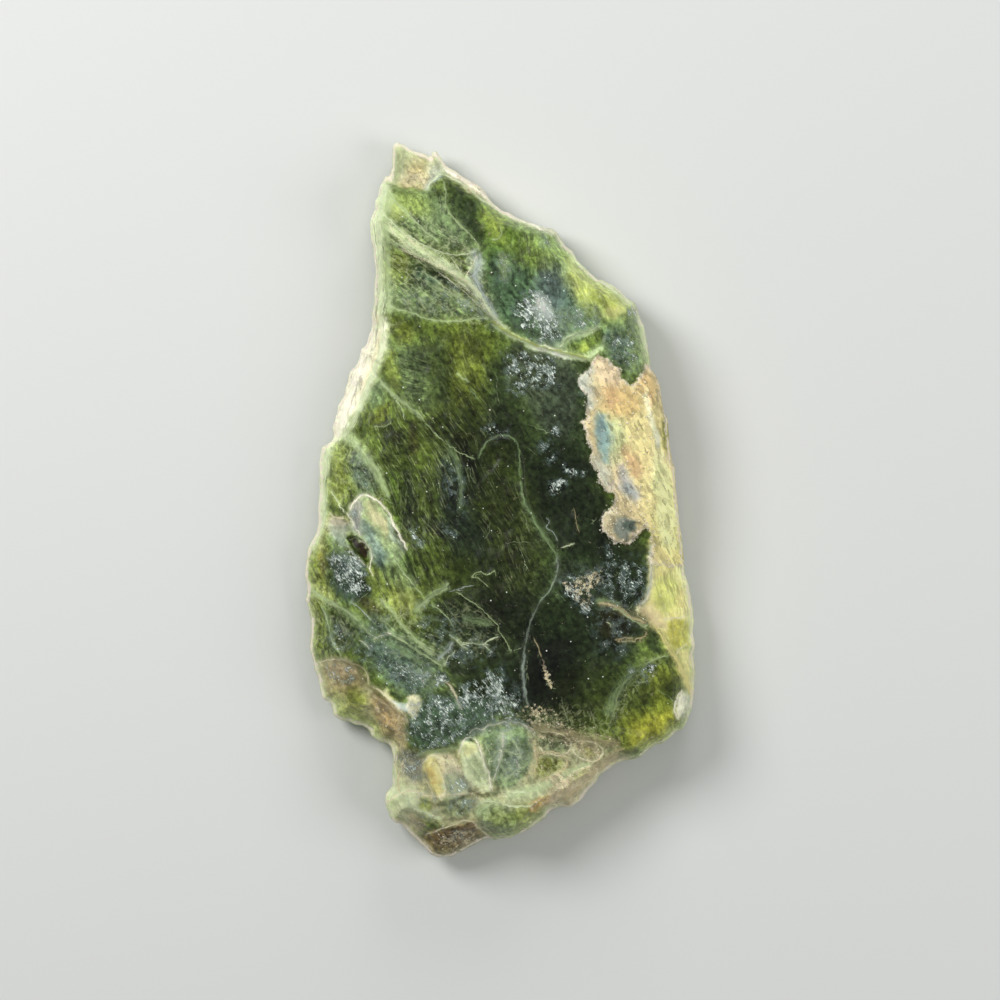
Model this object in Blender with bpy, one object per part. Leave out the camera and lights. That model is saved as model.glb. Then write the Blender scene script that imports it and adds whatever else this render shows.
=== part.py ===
"""A hand-sized slab of antigorite, the platy green serpentine mineral, lying on its back.

The stone is one solid. Its plan, the ledges where its cleavage sheets break off, the crust on its right
shoulder and the slopes down to its thin edges are drawn below on a grid of tenths of a millimetre. x runs
right along the grid, y runs from its foot to its tip, and +Z is up out of the broad face.
"""

import bmesh
import bpy
import numpy as np
from mathutils import Vector, geometry, noise

# Driving dimensions, in metres.
GRID_STEP = 0.0001  # one unit of the drawing grid that every plan point below is read on
FACE_HEIGHT = 0.0074  # the broad face over the floor, at the middle of the slab
POINT_SPACING = 0.00032  # between points of the mesh before it is thinned out
MOST_TRIANGLES = 9400
SNAP_TO_PLANE = 0.0001  # points this near the resting plane lie on it

# The drawing grid, in grid units: u runs right and v runs down, and this is the middle of the stone.
GRID_CENTRE = (500.0, 500.0)
MM = 0.001
UNIT_MM = GRID_STEP / MM

# The slab's silhouette, clockwise from the tip.
OUTLINE = [
    (396, 143), (403, 145), (411, 150), (419, 153), (426, 155), (431, 159), (432, 154), (435, 151),
    (439, 156), (447, 167), (453, 170), (462, 176), (478, 186), (484, 190), (487, 196), (491, 202),
    (503, 211), (522, 220), (545, 228), (552, 229), (557, 233), (560, 240), (566, 247), (572, 252),
    (576, 260), (581, 265), (590, 273), (596, 279), (602, 281), (607, 284), (613, 286), (622, 293),
    (628, 300), (634, 303), (637, 310), (640, 320), (644, 327), (646, 340), (648, 352), (650, 370),
    (655, 376), (659, 385), (661, 398), (663, 412), (667, 419), (668, 440), (671, 460), (674, 468),
    (675, 480), (677, 505), (680, 530), (682, 545), (685, 573), (688, 583), (690, 594), (694, 620),
    (693, 632), (695, 646), (693, 657), (695, 672), (693, 696), (692, 708), (686, 723), (682, 729),
    (676, 731), (663, 743), (655, 744), (645, 752), (640, 757), (633, 759), (625, 760), (614, 764),
    (600, 775), (596, 781), (585, 793), (581, 800), (571, 807), (560, 807), (552, 809), (547, 813),
    (544, 818), (529, 828), (520, 834), (510, 838), (495, 840), (487, 838), (480, 841), (462, 851),
    (452, 856), (438, 857), (430, 854), (420, 842), (413, 836), (402, 824), (394, 822), (391, 818),
    (388, 810), (385, 801), (387, 793), (393, 787), (393, 755), (391, 746), (387, 743), (379, 741),
    (372, 736), (369, 730), (363, 726), (355, 725), (348, 721), (340, 720), (334, 716), (332, 706),
    (329, 702), (322, 698), (319, 681), (314, 665), (310, 650), (311, 632), (311, 618), (307, 605),
    (305, 600), (308, 593), (308, 585), (305, 577), (306, 564), (308, 550), (313, 540), (317, 531),
    (319, 524), (318, 508), (320, 494), (319, 478), (321, 452), (322, 448), (331, 442), (334, 436),
    (333, 428), (335, 420), (338, 410), (338, 406), (344, 396), (348, 380), (350, 371), (357, 365),
    (360, 356), (361, 349), (366, 347), (369, 338), (373, 326), (372, 316), (374, 306), (375, 290),
    (376, 272), (374, 250), (371, 234), (371, 220), (376, 209), (375, 201), (379, 196), (380, 187),
    (384, 181), (385, 175), (390, 179), (392, 168), (393, 147),
]  # fmt: skip

# How the slab meets its silhouette, clockwise from the tip. Each station has a place, the heights of the
# wall's foot and top, the widths of the front and back slopes that meet it, in millimetres, and how far
# the front slope is broken into sheet edges, from 0 to 1.
RIM = [
    ((398, 145), 1.5, 3.3, 1.2, 1.6, 0.2),
    ((462, 176), 1.4, 3.9, 1.6, 2.2, 0.4),
    ((522, 220), 1.3, 4.0, 1.1, 2.4, 0.2),
    ((572, 252), 1.2, 3.7, 1.5, 2.4, 0.3),
    ((634, 303), 1.4, 4.2, 1.3, 2.2, 0.2),
    ((650, 370), 1.8, 5.0, 1.0, 2.6, 0.3),
    ((668, 440), 1.6, 4.2, 1.7, 2.6, 0.6),
    ((675, 480), 1.5, 3.8, 2.2, 2.6, 0.2),
    ((682, 545), 1.4, 3.2, 3.6, 2.6, 0.1),
    ((694, 620), 1.3, 2.9, 3.7, 2.8, 0.1),
    ((695, 660), 1.4, 3.0, 2.8, 2.8, 0.1),
    ((692, 708), 1.6, 2.8, 2.0, 2.4, 0.0),
    ((663, 743), 1.5, 3.9, 1.4, 2.2, 0.2),
    ((614, 764), 1.5, 4.0, 1.3, 2.0, 0.4),
    ((571, 807), 1.6, 3.1, 1.9, 2.0, 0.5),
    ((510, 838), 1.7, 3.2, 1.2, 2.2, 0.2),
    ((438, 857), 1.9, 2.9, 3.7, 2.0, 0.3),
    ((391, 818), 1.8, 3.3, 1.6, 1.8, 0.4),
    ((393, 768), 1.5, 3.9, 0.9, 1.8, 0.4),
    ((369, 730), 1.4, 2.6, 2.2, 2.0, 0.3),
    ((322, 698), 1.3, 2.3, 2.6, 2.2, 0.2),
    ((311, 632), 1.2, 2.4, 4.4, 2.4, 0.3),
    ((306, 564), 1.3, 2.6, 5.0, 2.6, 0.3),
    ((319, 478), 1.4, 2.8, 4.6, 2.6, 0.2),
    ((333, 428), 1.5, 2.4, 3.4, 2.4, 0.6),
    ((357, 365), 1.6, 2.3, 2.9, 2.4, 0.6),
    ((373, 310), 1.5, 3.6, 1.4, 2.2, 0.6),
    ((371, 225), 1.4, 3.3, 1.5, 2.0, 0.5),
    ((385, 178), 1.4, 3.1, 1.0, 1.6, 0.3),
]
SLOPE_LEDGES = 4  # sheet edges down a fully broken slope

# The broad face, in millimetres of height for each millimetre across the slab, or for its square.
TILT_RIGHT, TILT_TIP, CROWN = 0.04, 0.012, 0.0011
TIP_THINS_FROM, TIP_THINNING = 9.0, 0.0018

# Unevenness, as the height of the lumps and their size across, in millimetres.
FACE_SWELLS, FACE_RIPPLES, FACE_GRAIN = (0.32, 11.0), (0.1, 3.2), (0.05, 0.9)
LEDGE_WANDER, BACK_LEDGE_WANDER, BREAK_FLOOR = (0.14, 1.3), (0.3, 2.6), (0.16, 3.0)
SLOPE_WANDER, SLOPE_NICKS = (0.42, 3.6), (0.05, 0.9)
EDGE_NICKS = (0.07, 0.9)
WALL_STRATA, WALL_STRATA_SQUASH = (0.22, 1.0), (0.4, 0.4, 2.2)
LEAST_RISE = 0.25  # mm, of the face over the top of the wall
SLOPE_ROUNDING = 1.4  # 1 for straight slopes, and rounder towards the face over that

# Ledges of the front: each closed line encloses the cleavage sheet that stands over its neighbours by the
# first number, or lies under them where that is negative. The second is the ledge's width. Millimetres.
UPPER_SHEET = ([
    (350, 243), (385, 243), (400, 249), (420, 262), (440, 272), (462, 283), (475, 295), (483, 312),
    (495, 322), (503, 332), (520, 341), (540, 349), (560, 354), (588, 361), (600, 357), (612, 363),
    (619, 373), (632, 382), (640, 375), (648, 366), (720, 360), (720, 100), (350, 100),
], 0.55, 0.5)  # fmt: skip
TIP_SHEET = ([
    (350, 120), (350, 184), (384, 184), (400, 187), (412, 191), (424, 191), (428, 183), (436, 178),
    (446, 177), (456, 179), (470, 191), (484, 203), (500, 213), (540, 180), (440, 110),
], -1.5, 0.5)  # fmt: skip
FAN_SHEET = ([
    (365, 204), (384, 211), (395, 223), (410, 234), (425, 245), (440, 252), (455, 257), (468, 256),
    (480, 252), (476, 243), (470, 234), (462, 227), (455, 222), (450, 214), (446, 204), (446, 192),
    (438, 186), (428, 192), (400, 189), (365, 180),
], 0.34, 0.35)  # fmt: skip
BAND_SHEET = ([
    (365, 204), (395, 223), (425, 245), (455, 257), (480, 252), (485, 262), (482, 273), (470, 283),
    (462, 283), (440, 272), (420, 262), (400, 249), (385, 243), (365, 240),
], 0.14, 0.3)  # fmt: skip
HOLLOW_SHEET = ([
    (382, 252), (400, 254), (420, 266), (440, 277), (460, 289), (472, 300), (480, 311), (489, 319),
    (470, 321), (440, 322), (425, 318), (410, 312), (395, 308), (380, 303),
], -0.28, 0.35)  # fmt: skip
BRIGHT_CORNER = ([
    (560, 346), (566, 340), (574, 335), (586, 331), (598, 327), (604, 336), (600, 350), (590, 358),
], -0.22, 0.3)  # fmt: skip
LEFT_PLATE = ([
    (347, 517), (352, 505), (358, 498), (366, 493), (374, 497), (382, 505), (388, 515), (394, 526),
    (400, 538), (405, 551), (398, 556), (388, 560), (380, 571), (370, 568), (358, 566), (346, 560),
    (338, 548), (330, 535), (326, 522), (334, 516), (343, 518),
], 0.42, 0.25)  # fmt: skip
PLATE_HOLE = ([
    (348, 538), (355, 535), (363, 540), (369, 549), (371, 558), (367, 563), (359, 555), (352, 547),
], -1.5, 0.35)  # fmt: skip
LEFT_FLANK_BLOCK = ([
    (290, 586), (312, 588), (328, 599), (345, 609), (362, 623), (352, 640), (340, 657), (290, 661),
], -0.35, 0.6)  # fmt: skip
LOWER_LEFT_SHEET = ([
    (280, 662), (318, 662), (328, 659), (340, 658), (352, 662), (362, 666), (368, 673), (369, 684),
    (378, 692), (385, 700), (392, 706), (400, 712), (407, 718), (409, 728), (405, 738), (400, 750),
    (390, 768), (280, 770),
], -1.25, 0.5)  # fmt: skip
FOOT_SHEET = ([
    (400, 750), (412, 752), (430, 751), (450, 747), (461, 745), (466, 738), (474, 729), (484, 724),
    (500, 723), (516, 718), (531, 722), (545, 731), (560, 736), (580, 738), (600, 742), (622, 745),
    (640, 790), (600, 880), (340, 880), (380, 790), (390, 768),
], -0.75, 0.45)  # fmt: skip
ROUND_WINDOW = ([
    (480, 734), (488, 726), (500, 723), (514, 722), (526, 728), (531, 740), (532, 758), (530, 776),
    (522, 786), (508, 790), (494, 788), (486, 776), (480, 764), (476, 750),
], 0.35, 0.4)  # fmt: skip
YELLOW_FLAKE = ([
    (426, 761), (432, 757), (438, 764), (444, 772), (448, 785), (447, 798), (440, 801), (434, 791),
    (428, 778),
], 0.85, 0.4)  # fmt: skip
PALE_FLAKE = ([
    (460, 752), (463, 742), (470, 736), (477, 742), (480, 752), (487, 765), (493, 778), (496, 789),
    (482, 794), (468, 787), (461, 773),
], 0.75, 0.4)  # fmt: skip
FLAKE_STEP = ([
    (424, 760), (436, 754), (448, 759), (459, 768), (464, 780), (470, 792), (455, 799), (436, 803),
    (420, 797), (420, 775),
], 0.4, 0.4)  # fmt: skip
NOSE_TOP = ([
    (376, 786), (396, 783), (420, 795), (450, 800), (480, 796), (510, 792), (545, 786), (556, 797),
    (530, 812), (500, 824), (488, 834), (478, 818), (462, 817), (446, 823), (424, 832), (410, 826),
    (398, 814), (376, 812),
], 0.4, 0.5)  # fmt: skip
LOWER_RIGHT_HOLLOW = ([
    (612, 726), (615, 706), (618, 690), (624, 680), (634, 672), (645, 665), (656, 660), (668, 656),
    (676, 667), (684, 682), (678, 700), (676, 722), (660, 736), (636, 732),
], -0.5, 0.7)  # fmt: skip
CORNER_CHIP = ([
    (677, 703), (681, 692), (686, 686), (700, 694), (704, 720), (684, 734), (677, 722),
], -1.1, 0.5)  # fmt: skip
RIGHT_CRUST = ([
    (588, 362), (598, 357), (608, 361), (614, 367), (620, 375), (633, 383), (640, 376), (648, 368),
    (664, 380), (672, 420), (672, 462), (678, 500), (672, 524), (655, 534), (644, 525), (636, 522),
    (628, 526), (634, 535), (622, 544), (612, 539), (602, 532), (601, 521), (606, 511), (614, 509),
    (613, 497), (602, 488), (595, 477), (591, 462), (588, 448), (584, 438), (583, 424), (588, 419),
    (588, 404), (586, 390), (590, 378),
], 0.3, 0.22)  # fmt: skip
CRUMBLED_PATCH = ([
    (558, 581), (566, 577), (578, 579), (590, 570), (602, 567), (606, 576), (598, 588), (592, 600),
    (586, 610), (578, 605), (566, 598), (560, 590),
], 0.28, 0.3)  # fmt: skip
FRONT_SHEETS = [
    UPPER_SHEET, TIP_SHEET, FAN_SHEET, BAND_SHEET, HOLLOW_SHEET, BRIGHT_CORNER, LEFT_PLATE,
    LEFT_FLANK_BLOCK, LOWER_LEFT_SHEET, FOOT_SHEET, ROUND_WINDOW, FLAKE_STEP, YELLOW_FLAKE,
    PALE_FLAKE, NOSE_TOP, LOWER_RIGHT_HOLLOW, CORNER_CHIP, RIGHT_CRUST, CRUMBLED_PATCH, PLATE_HOLE,
]  # fmt: skip

# Low scarps that die away across the front: the side to the left of the line, walking along it, stands
# over the other by the first number, and evens out over the second. Millimetres.
SCARPS = [
    ([(523, 712), (522, 668), (525, 640), (530, 620), (537, 605), (549, 593), (557, 580), (557, 556),
      (545, 534), (530, 510), (523, 490), (523, 470), (519, 450), (510, 439), (498, 437), (487, 441),
      (479, 452), (474, 470)], 0.32, 7.0),
    ([(384, 384), (398, 396), (412, 408), (424, 422), (440, 440), (452, 448), (474, 458)], 0.26, 4.0),
    ([(352, 442), (366, 458), (378, 474), (383, 492), (392, 512), (402, 540), (412, 566),
      (424, 596)], 0.3, 4.0),
    ([(412, 612), (424, 600), (440, 589), (452, 584), (478, 586)], 0.3, 3.5),
    ([(455, 590), (470, 600), (484, 612), (497, 625), (500, 636), (511, 651)], 0.24, 3.5),
    ([(362, 612), (380, 629), (400, 641), (420, 652), (436, 664), (446, 676), (458, 690),
      (462, 706)], 0.3, 4.0),
    ([(652, 622), (640, 618), (628, 606), (612, 604), (596, 600)], 0.3, 3.0),
    ([(322, 600), (328, 622), (332, 642), (342, 656)], 0.3, 2.0),
]  # fmt: skip
SCARP_EDGE = 0.22  # mm, the width of a scarp's own edge

# The back: each line encloses an area where sheets have broken off the cleavage plane that the slab lies
# on, by the depth in the first number. The second is the ledge's width. Millimetres.
BACK_HEAD = ([
    (280, 100), (280, 420), (352, 392), (392, 330), (430, 300), (462, 268), (520, 292), (560, 286),
    (604, 330), (740, 352), (740, 100),
], 0.62, 0.6)  # fmt: skip
BACK_TIP = ([
    (280, 100), (280, 240), (400, 232), (444, 208), (492, 240), (540, 262), (700, 270), (700, 100),
], 0.5, 0.6)  # fmt: skip
BACK_FOOT = ([
    (280, 690), (384, 694), (430, 760), (470, 742), (520, 752), (560, 700), (610, 706), (640, 676),
    (740, 690), (740, 900), (280, 900),
], 0.6, 0.7)  # fmt: skip
BACK_RIGHT_STRIP = ([
    (634, 340), (640, 470), (662, 556), (652, 640), (668, 700), (740, 700), (740, 340),
], 0.35, 0.5)  # fmt: skip
BACK_LEFT_STRIP = ([
    (280, 440), (346, 452), (340, 520), (372, 560), (366, 640), (384, 694), (280, 700),
], 0.42, 0.5)  # fmt: skip
BACK_SHEETS = [BACK_HEAD, BACK_TIP, BACK_FOOT, BACK_RIGHT_STRIP, BACK_LEFT_STRIP]

STONE_GREEN, STONE_ROUGHNESS = (0.13, 0.2, 0.07, 1.0), 0.38


def plan(points):
    """Points of the drawing grid as an array of x and y in millimetres from the stone's middle."""
    grid = np.asarray(points, float)
    return (grid - GRID_CENTRE) * (UNIT_MM, -UNIT_MM)


def smooth_step(value, low, high):
    """0 up to low, 1 from high, and a smooth rise between them."""
    t = np.clip((value - low) / (high - low), 0.0, 1.0)
    return t * t * (3.0 - 2.0 * t)


def rough(points, unevenness, seed, octaves=3):
    """Fractal noise at each point, with lumps of the height and the size across that are given."""
    lump, size = unevenness
    shift = Vector((seed * 17.3, seed * 5.1, seed * 9.7))
    height = points[:, 2] if points.shape[1] > 2 else np.zeros(len(points))
    return lump * np.array([
        noise.fractal(Vector((x / size, y / size, z / size)) + shift, 1.0, 2.1, octaves)
        for x, y, z in zip(points[:, 0], points[:, 1], height)
    ])  # fmt: skip


def nearest_on_line(points, line, closed):
    """Distance from each point to a line of segments, the side it lies on and the place along the line.

    The side is positive to the left of the line. The place counts segments from the line's start.
    """
    starts = line if closed else line[:-1]
    ends = np.roll(line, -1, axis=0) if closed else line[1:]
    best = np.full(len(points), np.inf)
    side = np.zeros(len(points))
    place = np.zeros(len(points))
    for index, (start, end) in enumerate(zip(starts, ends)):
        run = end - start
        to_point = points - start
        share = np.clip(to_point @ run / (run @ run), 0.0, 1.0)
        offset = to_point - share[:, None] * run
        distance = np.hypot(offset[:, 0], offset[:, 1])
        nearer = distance < best
        best[nearer] = distance[nearer]
        side[nearer] = (run[0] * to_point[:, 1] - run[1] * to_point[:, 0])[nearer]
        place[nearer] = index + share[nearer]
    return best, side, place


def depth_inside(points, outline):
    """Distance to a closed outline: positive inside it and negative outside."""
    distance, _, _ = nearest_on_line(points, outline, closed=True)
    inside = np.zeros(len(points), bool)
    for (x0, y0), (x1, y1) in zip(outline, np.roll(outline, -1, axis=0)):
        crosses = (y0 > points[:, 1]) != (y1 > points[:, 1])
        if y0 != y1:
            cut = x0 + (points[:, 1] - y0) * (x1 - x0) / (y1 - y0)
            inside ^= crosses & (points[:, 0] < cut)
    return np.where(inside, distance, -distance)


def ragged_outline():
    """The silhouette with the small nicks of a broken edge, in millimetres."""
    corners = plan(OUTLINE)
    points = []
    for start, end in zip(corners, np.roll(corners, -1, axis=0)):
        pieces = max(1, round(float(np.hypot(*(end - start))) / (POINT_SPACING / MM)))
        points += [start + (end - start) * k / pieces for k in range(pieces)]
    points = np.array(points)
    return points + np.stack([rough(points, EDGE_NICKS, 1), rough(points, EDGE_NICKS, 2)], axis=1)


def rim_at(points, outline):
    """The rim's five measures at the part of the silhouette nearest to each point, and the depth inside."""
    depth = depth_inside(points, outline)
    _, _, place = nearest_on_line(points, outline, closed=True)
    _, _, stations = nearest_on_line(plan([row[0] for row in RIM]), outline, closed=True)
    order = np.argsort(stations)
    measures = np.array([row[1:] for row in RIM])[order]
    found = [np.interp(place, stations[order], column, period=len(outline)) for column in measures.T]
    return depth, found


def scarp_height(points, line, height, fade):
    """The rise to one side of a scarp, which fades across the face and towards the scarp's ends."""
    track = plan(line)
    distance, side, place = nearest_on_line(points, track, closed=False)
    last = len(track) - 1
    ends = smooth_step(place, 0.0, 1.5) * smooth_step(last - place, 0.0, 1.5)
    edge = smooth_step(distance * np.sign(side), -SCARP_EDGE / 2, SCARP_EDGE / 2)
    return height * ends * edge * np.exp(-distance / fade)


def front_height(points, outline):
    """Height of the front over the floor, in millimetres."""
    x, y = points[:, 0], points[:, 1]
    thinning = TIP_THINNING * np.maximum(y - TIP_THINS_FROM, 0.0) ** 2
    face = FACE_HEIGHT / MM + TILT_RIGHT * x - TILT_TIP * y - CROWN * x * x - thinning
    face += rough(points, FACE_SWELLS, 3, 2) + rough(points, FACE_RIPPLES, 4)
    wander = rough(points, LEDGE_WANDER, 5)
    for sheet, step, width in FRONT_SHEETS:
        face += step * smooth_step(depth_inside(points, plan(sheet)) + wander, -width / 2, width / 2)
    for line, height, fade in SCARPS:
        face += scarp_height(points, line, height, fade)
    depth, (_, wall_top, slope_width, _, broken) = rim_at(points, outline)
    uneven = rough(points, SLOPE_WANDER, 6) + rough(points, SLOPE_NICKS, 14)
    climb = np.clip((depth + uneven * np.minimum(depth, 1.0)) / slope_width, 0.0, 1.0)
    rise = 1.0 - (1.0 - climb) ** SLOPE_ROUNDING
    tread = rise * SLOPE_LEDGES
    ledges = (np.floor(tread) + smooth_step(tread % 1.0, 0.6, 1.0)) / SLOPE_LEDGES
    rise += broken * (ledges - rise)
    return wall_top + np.maximum(face - wall_top, LEAST_RISE) * rise + rough(points, FACE_GRAIN, 7) * climb


def back_height(points, outline):
    """Height of the back over the floor, in millimetres: zero on the plane that it lies on."""
    wander = rough(points, BACK_LEDGE_WANDER, 8)
    back = np.zeros(len(points))
    for sheet, depth, width in BACK_SHEETS:
        back += depth * smooth_step(depth_inside(points, plan(sheet)) + wander, -width / 2, width / 2)
    back += np.minimum(back / 0.4, 1.0) * rough(points, BREAK_FLOOR, 10)
    depth, (wall_foot, _, _, slope_width, _) = rim_at(points, outline)
    climb = np.clip(depth / slope_width, 0.0, 1.0)
    fall = (1.0 - climb) ** SLOPE_ROUNDING
    return np.maximum(back + np.maximum(wall_foot - back, 0.0) * fall, 0.0)


def plan_mesh(outline):
    """The silhouette filled with evenly scattered triangles, as plan points and faces."""
    spacing = POINT_SPACING / MM
    low, high = outline.min(axis=0), outline.max(axis=0)
    columns = np.arange(low[0], high[0], spacing)
    rows = np.arange(low[1], high[1], spacing * 0.87)
    grid = np.array([(x + spacing / 2 * (k % 2), y) for k, y in enumerate(rows) for x in columns])
    jitter = (0.22 * spacing, spacing)
    grid += np.stack([rough(grid, jitter, 11, 1), rough(grid, jitter, 12, 1)], axis=1)
    inner = grid[depth_inside(grid, outline) > 0.6 * spacing]
    points = [Vector(p) for p in np.concatenate([outline, inner])]
    border = list(range(len(outline)))
    filled = geometry.delaunay_2d_cdt(points, [], [border], 1, 1e-5)
    return np.array([tuple(p) for p in filled[0]]), [tuple(face) for face in filled[2]]


def slab_mesh():
    """The closed stone: the plan extruded, its front and back given their heights, its wall its strata."""
    outline = ragged_outline()
    flat, faces = plan_mesh(outline)
    bm = bmesh.new()
    sheet = [bm.verts.new((x, y, 0.0)) for x, y in flat]
    back_faces = [bm.faces.new([sheet[i] for i in face]) for face in faces]
    front = bmesh.ops.extrude_face_region(bm, geom=back_faces, use_keep_orig=True)["geom"]
    front = [part for part in front if isinstance(part, bmesh.types.BMVert)]
    back = sheet
    in_front = set(front)
    walls = [e for e in bm.edges if (e.verts[0] in in_front) != (e.verts[1] in in_front)]
    for verts, height in ((front, front_height), (back, back_height)):
        places = np.array([(v.co.x, v.co.y) for v in verts])
        for vert, z in zip(verts, height(places, outline)):
            vert.co.z = z
    made = bmesh.ops.subdivide_edges(bm, edges=walls, cuts=2, use_grid_fill=True)["geom_inner"]
    strata = [part for part in made if isinstance(part, bmesh.types.BMVert)]
    places = np.array([tuple(v.co) for v in strata])
    bulge = rough(places * WALL_STRATA_SQUASH, WALL_STRATA, 13)
    toward = places[:, :2] - outline.mean(axis=0)
    toward /= np.linalg.norm(toward, axis=1)[:, None]
    for vert, direction, size in zip(strata, toward, np.minimum(bulge, 0.0)):
        vert.co.x += direction[0] * size
        vert.co.y += direction[1] * size
    bmesh.ops.triangulate(bm, faces=bm.faces)
    bmesh.ops.recalc_face_normals(bm, faces=bm.faces)
    bmesh.ops.scale(bm, vec=(MM, MM, MM), verts=bm.verts)
    mesh = bpy.data.meshes.new("antigorite")
    bm.to_mesh(mesh)
    bm.free()
    return mesh


def thinned(mesh):
    """The mesh with fewer triangles where the stone is plain, and its resting plane flat again."""
    helper = bpy.data.objects.new("antigorite_fine", mesh)
    bpy.context.scene.collection.objects.link(helper)
    thinner = helper.modifiers.new("Thin out", "DECIMATE")
    thinner.ratio = MOST_TRIANGLES / len(mesh.polygons)
    graph = bpy.context.evaluated_depsgraph_get()
    coarse = bpy.data.meshes.new_from_object(helper.evaluated_get(graph))
    bpy.data.objects.remove(helper)
    bpy.data.meshes.remove(mesh)
    coarse.name = "antigorite"
    for vert in coarse.vertices:
        if vert.co.z < SNAP_TO_PLANE:
            vert.co.z = 0.0
    return coarse


def stone_material():
    """Polished-looking green serpentine."""
    material = bpy.data.materials.new("antigorite")
    material.use_nodes = True
    shader = material.node_tree.nodes["Principled BSDF"]
    shader.inputs["Base Color"].default_value = STONE_GREEN
    shader.inputs["Roughness"].default_value = STONE_ROUGHNESS
    shader.inputs["Metallic"].default_value = 0.0
    material.diffuse_color = STONE_GREEN
    return material


def main():
    for obj in list(bpy.data.objects):
        bpy.data.objects.remove(obj, do_unlink=True)
    mesh = thinned(slab_mesh())
    mesh.materials.append(stone_material())
    stone = bpy.data.objects.new("antigorite", mesh)
    bpy.context.scene.collection.objects.link(stone)


main()
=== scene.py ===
"""The looks of a hand-sized slab of antigorite, the platy green serpentine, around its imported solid.

The script is laid out as an add-on and run as a script. One operator makes the stone in full detail, one
its cemented grains, and one the floor, the lights and the camera. Plans are drawn on a grid of tenths of
a millimetre, u to the right and v down, whose middle is the middle of the stone. x and y run right and
up the slab, and +Z is up out of its broad face.
"""

import math

import bmesh
import bpy
import numpy as np
from bpy.props import FloatProperty, FloatVectorProperty, IntProperty, PointerProperty
from mathutils import Euler, Matrix, Vector, noise
from mathutils.bvhtree import BVHTree


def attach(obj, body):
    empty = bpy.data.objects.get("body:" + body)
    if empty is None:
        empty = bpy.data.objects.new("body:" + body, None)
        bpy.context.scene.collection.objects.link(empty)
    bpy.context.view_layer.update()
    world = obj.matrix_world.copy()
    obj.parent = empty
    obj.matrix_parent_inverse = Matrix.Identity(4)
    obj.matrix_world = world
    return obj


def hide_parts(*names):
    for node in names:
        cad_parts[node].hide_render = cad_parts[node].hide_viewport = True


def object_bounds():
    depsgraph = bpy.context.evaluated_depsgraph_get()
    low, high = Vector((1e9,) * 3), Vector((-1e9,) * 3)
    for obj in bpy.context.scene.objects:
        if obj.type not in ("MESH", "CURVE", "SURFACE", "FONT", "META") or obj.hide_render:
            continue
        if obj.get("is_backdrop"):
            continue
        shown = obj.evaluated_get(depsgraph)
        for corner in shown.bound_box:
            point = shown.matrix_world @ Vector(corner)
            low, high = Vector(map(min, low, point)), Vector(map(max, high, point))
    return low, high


bl_info = {
    "name": "Antigorite slab",
    "version": (1, 0, 0),
    "blender": (4, 5, 0),
    "location": "3D View > Sidebar > Antigorite",
    "description": "Builds a translucent slab of platy green serpentine with veins, frost and crust",
    "category": "Add Mesh",
}

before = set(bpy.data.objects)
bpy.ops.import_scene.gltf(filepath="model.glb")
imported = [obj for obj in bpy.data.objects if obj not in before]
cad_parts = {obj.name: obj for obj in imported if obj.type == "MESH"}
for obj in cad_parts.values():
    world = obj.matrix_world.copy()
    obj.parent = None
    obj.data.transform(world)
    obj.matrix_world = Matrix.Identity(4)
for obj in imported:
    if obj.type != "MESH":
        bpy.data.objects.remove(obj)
CAD_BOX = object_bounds()

# The drawing grid, in grid units, and what a unit is worth.
GRID_CENTRE = (500.0, 500.0)
MM = 0.001  # metres
UNIT_MM = 0.1  # millimetres


def places_in(text):
    """The places written in a text, each as how far right and how far down it lies on the drawing grid."""
    return [tuple(int(part) for part in word.split(",")) for word in text.split() if "," in word]


def rows_in(text):
    """The rows of a table, each as its words and numbers in order and then the list of its places.

    A row starts on a line of its own, and goes on in the lines after it that are set in.
    """
    rows = []
    for line in text.strip().replace("\n ", " ").split("\n"):
        words = [word for word in line.split() if "," not in word]
        rows.append((*[word if word[0].isalpha() else float(word) for word in words], places_in(line)))
    return rows


# The slab's silhouette, clockwise from the tip.
OUTLINE = places_in("""
396,143 403,145 411,150 419,153 426,155 431,159 432,154 435,151 439,156 447,167 453,170 462,176 478,186
484,190 487,196 491,202 503,211 522,220 545,228 552,229 557,233 560,240 566,247 572,252 576,260 581,265
590,273 596,279 602,281 607,284 613,286 622,293 628,300 634,303 637,310 640,320 644,327 646,340 648,352
650,370 655,376 659,385 661,398 663,412 667,419 668,440 671,460 674,468 675,480 677,505 680,530 682,545
685,573 688,583 690,594 694,620 693,632 695,646 693,657 695,672 693,696 692,708 686,723 682,729 676,731
663,743 655,744 645,752 640,757 633,759 625,760 614,764 600,775 596,781 585,793 581,800 571,807 560,807
552,809 547,813 544,818 529,828 520,834 510,838 495,840 487,838 480,841 462,851 452,856 438,857 430,854
420,842 413,836 402,824 394,822 391,818 388,810 385,801 387,793 393,787 393,755 391,746 387,743 379,741
372,736 369,730 363,726 355,725 348,721 340,720 334,716 332,706 329,702 322,698 319,681 314,665 310,650
311,632 311,618 307,605 305,600 308,593 308,585 305,577 306,564 308,550 313,540 317,531 319,524 318,508
320,494 319,478 321,452 322,448 331,442 334,436 333,428 335,420 338,410 338,406 344,396 348,380 350,371
357,365 360,356 361,349 366,347 369,338 373,326 372,316 374,306 375,290 376,272 374,250 371,234 371,220
376,209 375,201 379,196 380,187 384,181 385,175 390,179 392,168 393,147
""")

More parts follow.
